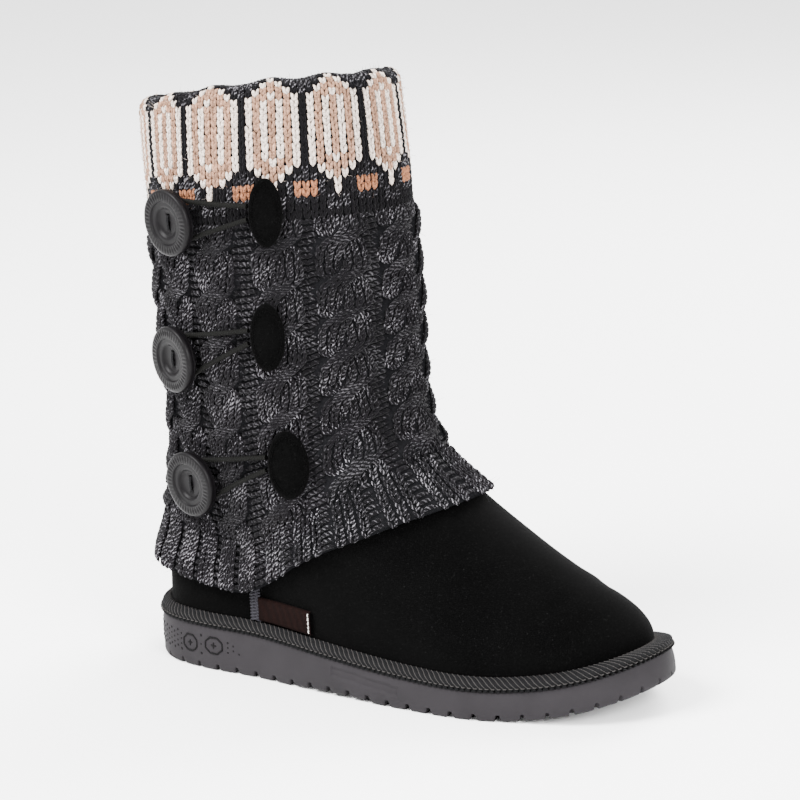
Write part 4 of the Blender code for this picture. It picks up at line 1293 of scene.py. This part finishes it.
def binding_section(turns):
    """Rows of points over the binding, from the top edge of the foam to the foot of the upper."""
    inner = ledge(turns) - 1.5 * CLEARANCE
    slope = inner - SOLE_SHOULDER
    rows = (
        (SOLE_SHOULDER * 0.6, 0.00), (-0.0001, 0.10), (0.0, 0.28), (0.0, 0.50), (SOLE_SHOULDER * 0.5, 0.70),
        (SOLE_SHOULDER + slope * 0.3, 0.86), (SOLE_SHOULDER + slope * 0.62, 0.97), (inner, 1.0),
    )
    rings = []
    for inset, lift in rows:
        plan = footprint(turns, inset)
        height = sole_top(plan[:, 0]) + CLEARANCE + (BINDING_HEIGHT - CLEARANCE) * lift
        rings.append(np.column_stack([plan, height]))
    return np.array(rings)


def over_binding(turns, rows):
    """Points over the binding: a column of turns for each share of the way up."""
    points = np.empty((*turns.shape, 3))
    for i, row in enumerate(rows):
        section = binding_section(turns[:, i])
        place = row * (len(section) - 1)
        low = min(int(place), len(section) - 2)
        points[:, i] = section[low] + (section[low + 1] - section[low]) * (place - low)
    return points


def build_binding(settings):
    """A tape under cords that lean the same way all round, with a light stitch at the foot of each and a
    light line between the cords; their light grey is partly painted highlight.
    """
    turns, perimeter = even_turns(720)
    body = grid_object("binding_tape", binding_section(turns), shaded_backing_finish())
    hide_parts("sole_binding")
    count = 225
    rows = np.linspace(0, 1, 9)
    starts = np.arange(count)[:, None] / count
    along = starts - 0.0090 / perimeter * rows[None]

    def even(share):
        return np.interp(share % 1, np.arange(721) / 720, np.append(turns, 1.0))

    at = even(along)
    centres = over_binding(at, rows)
    tangent = binding_section(at[:, 4] + 0.0005)[3] - binding_section(at[:, 4] - 0.0005)[3]
    outs = np.cross(tangent[:, None], np.gradient(centres, axis=1))
    outs /= np.linalg.norm(outs, axis=-1, keepdims=True)
    outs = np.where(outs[..., 2:] < -0.3, -outs, outs)
    radii = 0.00112 * np.array([0.7, 0.95, 1, 1, 1, 1, 0.98, 0.9, 0.6]) * np.ones((count, 1))
    points, quads = tubes(centres - outs * 0.00058, outs, radii, 8)
    places = tube_values(lengths_along(centres), np.arange(count) * 0.37 % 1, 8)
    cord = cord_finish("binding cord", tuple(settings.cord))
    cords = yarn_object("binding_cords", (points, quads, places), cord)
    # Light lines between the cords: partly thread and partly painted highlight along the binding.
    lines = over_binding(even(along + 0.5 / count), rows)
    points, quads = tubes(lines + outs * 0.00012, outs, 0.00019 * np.ones(lines.shape[:2]), 5)
    places = tube_values(lengths_along(lines), np.zeros(count), 5)
    stitch = cord_finish("binding stitch", tuple(settings.stitch), 2.0)
    between = yarn_object("binding_lines", (points, quads, places), stitch)
    half = 0.0009 / perimeter
    stitch_turns = even(starts + np.linspace(-half, half, 5)[None]).ravel()
    line = binding_section(stitch_turns)
    low = (line[2] * 0.55 + line[1] * 0.45).reshape(count, 5, 3)
    out = np.zeros((count, 5, 3))
    step = 0.001
    out[..., :2] = (footprint(stitch_turns, -step) - footprint(stitch_turns, 0)).reshape(count, 5, 2) / step
    swell = np.array([0.4, 0.9, 1.0, 0.9, 0.4])
    radii = 0.00024 * swell * np.ones((count, 1))
    points, quads = tubes(low + out * (0.0009 * swell)[None, :, None], out, radii, 6)
    places = tube_values(lengths_along(low), np.zeros(count), 6)
    stitches = yarn_object("binding_stitches", (points, quads, places), stitch)


class BOOT_OT_sole(bpy.types.Operator):
    """Foam sole with its grooves, ornament and corded binding"""

    bl_idname = "boot.sole"
    bl_label = "Sole and binding"

    def execute(self, context):
        settings = context.scene.boot_foot
        build_foam(settings)
        build_ornament(settings)
        build_binding(settings)
        return {"FINISHED"}


# Buttons, loops and other trims

BUTTON_COLUMNS = 176
NAP_FIBRES = 900
PATCH_STITCHES = 30
STITCH_ARCH = np.array([-1, 0.8, 1, 0.8, -1])  # how a sewn stitch rises and dives, in shares


def smooth_path(points, per):
    """More points along a path, on a curve through all of them."""
    points = np.asarray(points, float)
    points = np.concatenate([2 * points[:1] - points[1:2], points, 2 * points[-1:] - points[-2:-1]])
    t = np.arange(per)[:, None] / per
    made = []
    for a, b, c, d in zip(points, points[1:], points[2:], points[3:]):
        square, cube = 2 * a - 5 * b + 4 * c - d, 3 * b - a - 3 * c + d
        made.append(0.5 * (2 * b + (c - a) * t + square * t**2 + cube * t**3))
    made.append(points[-2:-1])
    return np.concatenate(made)


def in_frame(place, points):
    """Points given across, up and out of a button, in the boot's own frame."""
    matrix = np.array(place)
    return np.asarray(points, float) @ matrix[:3, :3].T + matrix[:3, 3]


def button_section():
    """Radii and heights down a button's face and round to its back."""
    radius, thick = BUTTON_DIAMETER / 2, BUTTON_THICKNESS
    field, dish = thick - RIM_DEPTH, DISH_DIAMETER / 2
    inner = radius - BUTTON_RIM
    return np.array([
        (0.0012, field - DISH_DEPTH),
        (dish * 0.45, field - DISH_DEPTH),
        (dish * 0.74, field - DISH_DEPTH * 0.96),
        (dish * 0.90, field - DISH_DEPTH * 0.62),
        (dish * 0.98, field - DISH_DEPTH * 0.2),
        (dish * 1.05, field - 0.0001),
        (dish * 1.12, field),
        (inner * 0.97, field),
        (inner, field + RIM_DEPTH * 0.15),
        (inner * 1.03, field + RIM_DEPTH * 0.75),
        (inner * 1.06, thick),
        (radius * 0.80, thick),
        (radius * 0.90, thick - 0.00005),
        (radius * 0.955, thick - 0.0003),
        (radius * 0.985, thick - 0.0008),
        (radius, thick * 0.62),
        (radius * 0.99, thick * 0.35),
        (radius * 0.95, thick * 0.12),
        (radius * 0.90, 0.0),
        (0.0012, 0.0),
    ])


def build_button(row, place, settings, plastic):
    """A turned button with a dished middle, two thread holes, and fine ribs on its rim."""
    section = smooth_path(button_section(), 2)
    angles = 2 * pi * np.arange(BUTTON_COLUMNS) / BUTTON_COLUMNS
    radius, height = section[:, :1], section[:, 1:]
    rim = ease((radius - (BUTTON_DIAMETER / 2 - BUTTON_RIM * 0.78)) / 0.0006)
    rim = rim * ease((BUTTON_DIAMETER * 0.455 - radius) / 0.0006) * (height > BUTTON_THICKNESS * 0.5)
    ribs = 0.00022 * rim * np.cos(settings.rim_ribs * angles)[None]
    points = np.stack([radius * np.cos(angles), radius * np.sin(angles), height + ribs], axis=-1)
    points = in_frame(place, points.reshape(-1, 3))
    quads = grid_quads(len(section), len(angles))[:, [0, 3, 2, 1]]
    button = mesh_object("button_" + row.name + "_face", points, quads, plastic)
    for side in (-1, 1):
        drill(button, place, side * THREAD_HOLE_SPACING / 2)
    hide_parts("button_" + row.name)


def drill(button, place, across):
    """Sink a hole for the thread: points near it go down to the back of the button."""
    mesh = button.data
    local = np.array(place.inverted())
    points = np.empty(len(mesh.vertices) * 3)
    mesh.vertices.foreach_get("co", points)
    points = points.reshape(-1, 3) @ local[:3, :3].T + local[:3, 3]
    away = np.hypot(points[:, 0], points[:, 1] - across)
    face = points[:, 2] > BUTTON_THICKNESS * 0.3
    depth = ease((THREAD_HOLE / 2 + 0.00012 - away) / 0.00022)
    points[:, 2] -= np.where(face, depth * (BUTTON_THICKNESS - RIM_DEPTH - DISH_DEPTH) * 0.9, 0)
    mesh.vertices.foreach_set("co", in_frame(place, points).astype(np.float32).ravel())
    mesh.update()


def build_thread(row, place, lift, finish):
    """Three strands over the face of a button, down through both of its holes."""
    side = THREAD_HOLE_SPACING / 2
    front = BUTTON_THICKNESS - RIM_DEPTH - DISH_DEPTH + 0.0004
    parts = []
    for number, across in enumerate((-0.00042, 0.0, 0.00042)):
        rise = 0.00018 if number == 1 else 0.0
        path = (
            (across * 0.4, side, -lift + 0.0004),
            (across * 0.5, side, front - 0.0012),
            (across, side - 0.0003, front + rise),
            (across, 0.0, front + 0.00035 + rise),
            (across, 0.0003 - side, front + rise),
            (across * 0.5, -side, front - 0.0012),
            (across * 0.4, -side, -lift + 0.0004),
        )
        line = in_frame(place, smooth_path(path, 6))
        out = np.broadcast_to(np.array(place)[:3, 0], line.shape)
        parts.append(path_tube(line, 0.00034, 8, out, number * 0.3))
    thread = yarn_object("thread_" + row.name, join(parts), finish)
    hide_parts("button_thread_" + row.name)


def build_loop(row, finish):
    """The braided elastic from its patch, round behind the button and back."""
    line = smooth_path(loop_points(row), 10)
    out = np.broadcast_to(np.array(fastening_frame(row)[0])[:3, 2], line.shape)
    loop = yarn_object("loop_" + row.name, path_tube(line, LOOP_CORD / 2, 12, out), finish)
    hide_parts("elastic_loop_" + row.name)


def on_patch(row, share, angle):
    """The turn and height of a place on a patch, a share of the way out from its middle."""
    girth = shaft_girth(row.button_height)
    turn = OUTER + row.patch_turn + share * PATCH_WIDTH / 2 * np.cos(angle) / girth
    return turn, row.patch_height + share * PATCH_HEIGHT / 2 * np.sin(angle)


def build_nap(row, suede):
    """Short fibres that stand off a patch and blur its edge."""
    rng = np.random.default_rng(40 + int(row.button_height * 1000))
    count = NAP_FIBRES
    share, angle = np.sqrt(rng.uniform(0.05, 1.03, count)), rng.uniform(0, 2 * pi, count)
    roots = face_level(*on_patch(row, share, angle), PATCH_THICKNESS * np.where(share > 0.95, 0.5, 1.05))
    out = np.array(fastening_frame(row)[0])[:3, 2]
    way = out * 0.5 + rng.normal(0, 0.7, (count, 3))
    way /= np.linalg.norm(way, axis=1, keepdims=True)
    reach = rng.uniform(0.0004, 0.0011, (count, 1, 1))
    centres = roots[:, None] + way[:, None] * np.linspace(0, 1, 3)[None, :, None] * reach
    radii = np.array([0.00008, 0.00006, 0.00003]) * np.ones((count, 1))
    points, quads = tubes(centres, np.broadcast_to(out, centres.shape), radii, 3)
    nap = mesh_object("patch_nap_" + row.name, points, quads, suede)


def build_patch(row, suede):
    """An oval of suede with a softened edge, sewn down round its border."""
    angles = 2 * pi * np.arange(72) / 72
    key = (
        (0.98, -0.9), (1.0, 0.0), (1.0, 0.45), (0.975, 0.75), (0.94, 0.95), (0.88, 1.0), (0.82, 0.93),
        (0.77, 0.88), (0.70, 0.98), (0.55, 1.12), (0.35, 1.18), (0.12, 1.2), (0.005, 1.2),
    )
    rings = [face_level(*on_patch(row, share, angles), PATCH_THICKNESS * lift) for share, lift in key]
    patch = grid_object("patch_" + row.name + "_face", np.array(rings), suede)
    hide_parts("patch_" + row.name)
    build_nap(row, suede)
    spans = np.arange(PATCH_STITCHES)[:, None] + np.linspace(0.1, 0.78, 5)[None]
    turns, heights = on_patch(row, 0.80, 2 * pi * spans / PATCH_STITCHES)
    lifts = PATCH_THICKNESS * 0.92 + 0.00022 * STITCH_ARCH
    centres = face_level(turns, heights, np.broadcast_to(lifts, turns.shape))
    out = np.broadcast_to(np.array(fastening_frame(row)[0])[:3, 2], centres.shape)
    tube = yarn_tubes(centres, out, 0.00024 * np.ones(turns.shape), 6, np.zeros(PATCH_STITCHES))
    sewn = yarn_object("patch_stitches_" + row.name, tube, suede)


def build_side_seam(name, inner, finish, suede):
    """The overlocked ridge over a side seam: crossing threads over a raised strip."""
    span = COLLAR_HEIGHT - HEEL_THICKNESS
    low, high = (BINDING_HEIGHT + 0.0006) / span, (HEM_SIDE + 0.006 - HEEL_THICKNESS) / span
    rises = np.linspace(low, high, 41)
    places = [(seam_turn(rise, inner), rise) for rise in rises]
    middle = np.array([upper_skin(*place) for place in places])
    frames = [outward(upper_skin, *place) for place in places]
    forward, out = (np.array([np.array(each[i]) for each in frames]) for i in (0, 2))
    section = np.array([
        (-0.0028, -0.0003), (-0.0020, 0.0007), (-0.0008, 0.0011),
        (0.0010, 0.0011), (0.0024, 0.0007), (0.0032, -0.0003),
    ])
    strip = middle[:, None] + forward[:, None] * section[:, :1] + out[:, None] * section[:, 1:]
    ridge = grid_object(name + "_ridge", strip, suede, around=False)
    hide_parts(name)
    parts = []
    share = np.linspace(0, 1, 7)
    for i in range(0, 37, 3):
        for start, end in ((-0.0027, 0.0031), (0.0031, -0.0027)):
            base, side, away = (
                np.array([np.interp(i + 3.6 * share, np.arange(41), each[:, k]) for k in range(3)]).T
                for each in (middle, forward, out)
            )
            lift = 0.0007 + 0.0012 * np.sin(pi * share) + (0.0003 if start < 0 else 0.0)
            line = base + side * (start + (end - start) * share)[:, None] + away * lift[:, None]
            parts.append(path_tube(line, 0.00055, 7, away, i * 0.13))
    threads = yarn_object(name + "_threads", join(parts), finish)


def build_tag(finish, thread):
    """A blank folded tag, sewn in at the outer side seam and lying forward on the upper."""
    span = COLLAR_HEIGHT - HEEL_THICKNESS
    low = (BINDING_HEIGHT + 4 * CLEARANCE) / span
    half = np.linspace(0, 0.5, 361)

    def spot(share, up, lift):
        rise = low + TAG_HEIGHT * up / span
        around = upper_skin(half, rise)
        order = np.argsort(around[:, 0])
        place = SEAM_PLACE + SEAM_WIDTH / 2 + 3 * CLEARANCE + TAG_LENGTH * 1.07 * share
        turn = float(np.interp(place, around[order, 0], half[order]))
        _, _, out = outward(upper_skin, turn, rise)
        return np.array(upper_skin(turn, rise)) + np.array(out) * lift, np.array(out)

    key = (
        (0.0, 0.0004), (-0.012, 0.0010), (0.0, 0.0019), (0.10, 0.0021), (0.5, 0.0021), (0.9, 0.0021),
        (1.0, 0.0019), (1.012, 0.0010), (1.0, 0.0004),
    )
    shares = np.linspace(0, 1, 31)
    rings = np.array([[spot(share, up, lift)[0] for up, lift in key] for share in shares])
    tag = grid_object("tag_tape", rings, finish, around=False)
    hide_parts("side_tag")
    parts = []
    for i in range(5):
        ups = np.linspace(0.08 + 0.18 * i, 0.20 + 0.18 * i, 5)
        lifts = 0.0021 + 0.00022 * STITCH_ARCH
        line, outs = zip(*[spot(0.965, up, lift) for up, lift in zip(ups, lifts)])
        parts.append(path_tube(np.array(line), 0.0003, 6, np.array(outs)))
    sewn = yarn_object("tag_stitches", join(parts), thread)


class BOOT_OT_trims(bpy.types.Operator):
    """Buttons, their threads, elastic loops, patches, side seams and the blank tag"""

    bl_idname = "boot.trims"
    bl_label = "Trims"

    def execute(self, context):
        settings = context.scene.boot_trims
        foot = context.scene.boot_foot
        plastic, elastic = button_finish(settings), elastic_finish(settings)
        suede = suede_finish(foot)
        dark_thread = cord_finish("dark thread", linear((14, 14, 15)), 2.0)
        grey_thread = cord_finish("overlock thread", linear((34, 33, 37)), 2.0)
        pale_thread = cord_finish("pale thread", linear((190, 186, 181)), 2.0)
        for row in FASTENINGS:
            place, lift = fastening_frame(row)
            build_button(row, place, settings, plastic)
            build_thread(row, place, lift, dark_thread)
            build_loop(row, elastic)
            build_patch(row, suede)
        build_side_seam("side_seam_outer", False, grey_thread, suede)
        build_side_seam("side_seam_inner", True, grey_thread, suede)
        build_tag(tag_finish(settings), pale_thread)
        return {"FINISHED"}


# Stage


def area_light(name, place, aim, size, power):
    light = bpy.data.lights.new(name, "AREA")
    light.shape, light.size, light.energy = "DISK", size, power
    obj = bpy.data.objects.new(name, light)
    obj.location = place
    obj.rotation_euler = (Vector(aim) - Vector(place)).to_track_quat("-Z", "Y").to_euler()
    bpy.context.scene.collection.objects.link(obj)


def build_camera(scene):
    """The camera stands where the photographer's did, fitted to the boot's outline."""
    azimuth, pitch, roll, distance = np.radians(31.7325), np.radians(13.5694), np.radians(-1.4773), 1.55
    way = Vector((-np.sin(azimuth) * np.cos(pitch), np.cos(azimuth) * np.cos(pitch), -np.sin(pitch)))
    right = Vector((np.cos(azimuth), np.sin(azimuth), 0.0))
    up = right.cross(way)
    right, up = right * np.cos(roll) + up * np.sin(roll), up * np.cos(roll) - right * np.sin(roll)
    data = bpy.data.cameras.new("camera")
    data.lens, data.sensor_width, data.clip_start = 150.67, 36.0, 0.05
    data.shift_x, data.shift_y = 0.046, 0.00524
    camera = bpy.data.objects.new("camera", data)
    place = Vector((0.07 + distance * np.sin(azimuth), -distance * np.cos(azimuth), 0.5047))
    turned = Matrix((right, up, -way)).transposed().to_4x4()
    camera.matrix_world = Matrix.Translation(place) @ turned
    scene.collection.objects.link(camera)
    scene.camera = camera


class BOOT_OT_stage(bpy.types.Operator):
    """Pale floor, soft studio lights and the camera"""

    bl_idname = "boot.stage"
    bl_label = "Stage"

    def execute(self, context):
        settings, scene = context.scene.boot_stage, context.scene
        mesh = bpy.data.meshes.new("floor")
        reach = 6.0
        corners = [(x * reach, y * reach, 0) for x, y in ((-1, -1), (1, -1), (1, 1), (-1, 1))]
        mesh.from_pydata(corners, [], [(0, 1, 2, 3)])
        floor = bpy.data.objects.new("floor", mesh)
        scene.collection.objects.link(floor)
        finish = Finish("pale floor", Roughness=0.6, Specular_IOR_Level=0.2, Base_Color=tuple(settings.floor))
        mesh.materials.append(finish.material)
        world = bpy.data.worlds.new("studio")
        world.use_nodes = True
        world.node_tree.nodes["Background"].inputs["Color"].default_value = (1, 1, 1, 1)
        world.node_tree.nodes["Background"].inputs["Strength"].default_value = 2.5
        scene.world = world
        aim = (0.06, 0.0, 0.12)
        power = settings.key_power
        area_light("key", (-0.6, -1.1, 1.5), aim, 1.1, power)
        area_light("side", (1.5, -0.9, 1.0), aim, 1.0, power * 0.55)
        area_light("back", (0.2, 1.4, 1.3), aim, 1.2, power * 0.5)
        build_camera(scene)
        return {"FINISHED"}


class BOOT_PT_panel(bpy.types.Panel):
    """Settings and makers of the boot's looks"""

    bl_label = "Ankle boot"
    bl_idname = "BOOT_PT_panel"
    bl_space_type = "VIEW_3D"
    bl_region_type = "UI"
    bl_category = "Boot"

    def draw(self, context):
        for group, operator in GROUPS:
            box = self.layout.box()
            settings = getattr(context.scene, group)
            for name in settings.__annotations__:
                box.prop(settings, name)
            for each in operator:
                box.operator(each.bl_idname)


GROUPS = (
    ("boot_knit", (BOOT_OT_knit,)),
    ("boot_foot", (BOOT_OT_foot, BOOT_OT_sole)),
    ("boot_trims", (BOOT_OT_trims,)),
    ("boot_stage", (BOOT_OT_stage,)),
)
SETTINGS = {
    "boot_knit": KnitSettings,
    "boot_foot": FootSettings,
    "boot_trims": TrimSettings,
    "boot_stage": StageSettings,
}
OPERATORS = (BOOT_OT_knit, BOOT_OT_foot, BOOT_OT_sole, BOOT_OT_trims, BOOT_OT_stage)


def register():
    for each in (*SETTINGS.values(), *OPERATORS, BOOT_PT_panel):
        bpy.utils.register_class(each)
    for name, group in SETTINGS.items():
        setattr(bpy.types.Scene, name, bpy.props.PointerProperty(type=group))


def unregister():
    for name in SETTINGS:
        delattr(bpy.types.Scene, name)
    for each in reversed((*SETTINGS.values(), *OPERATORS, BOOT_PT_panel)):
        bpy.utils.unregister_class(each)


def main():
    register()
    bpy.ops.boot.stage()
    bpy.ops.boot.sole()
    bpy.ops.boot.foot()
    bpy.ops.boot.knit()
    bpy.ops.boot.trims()


if __name__ == "__main__":
    main()
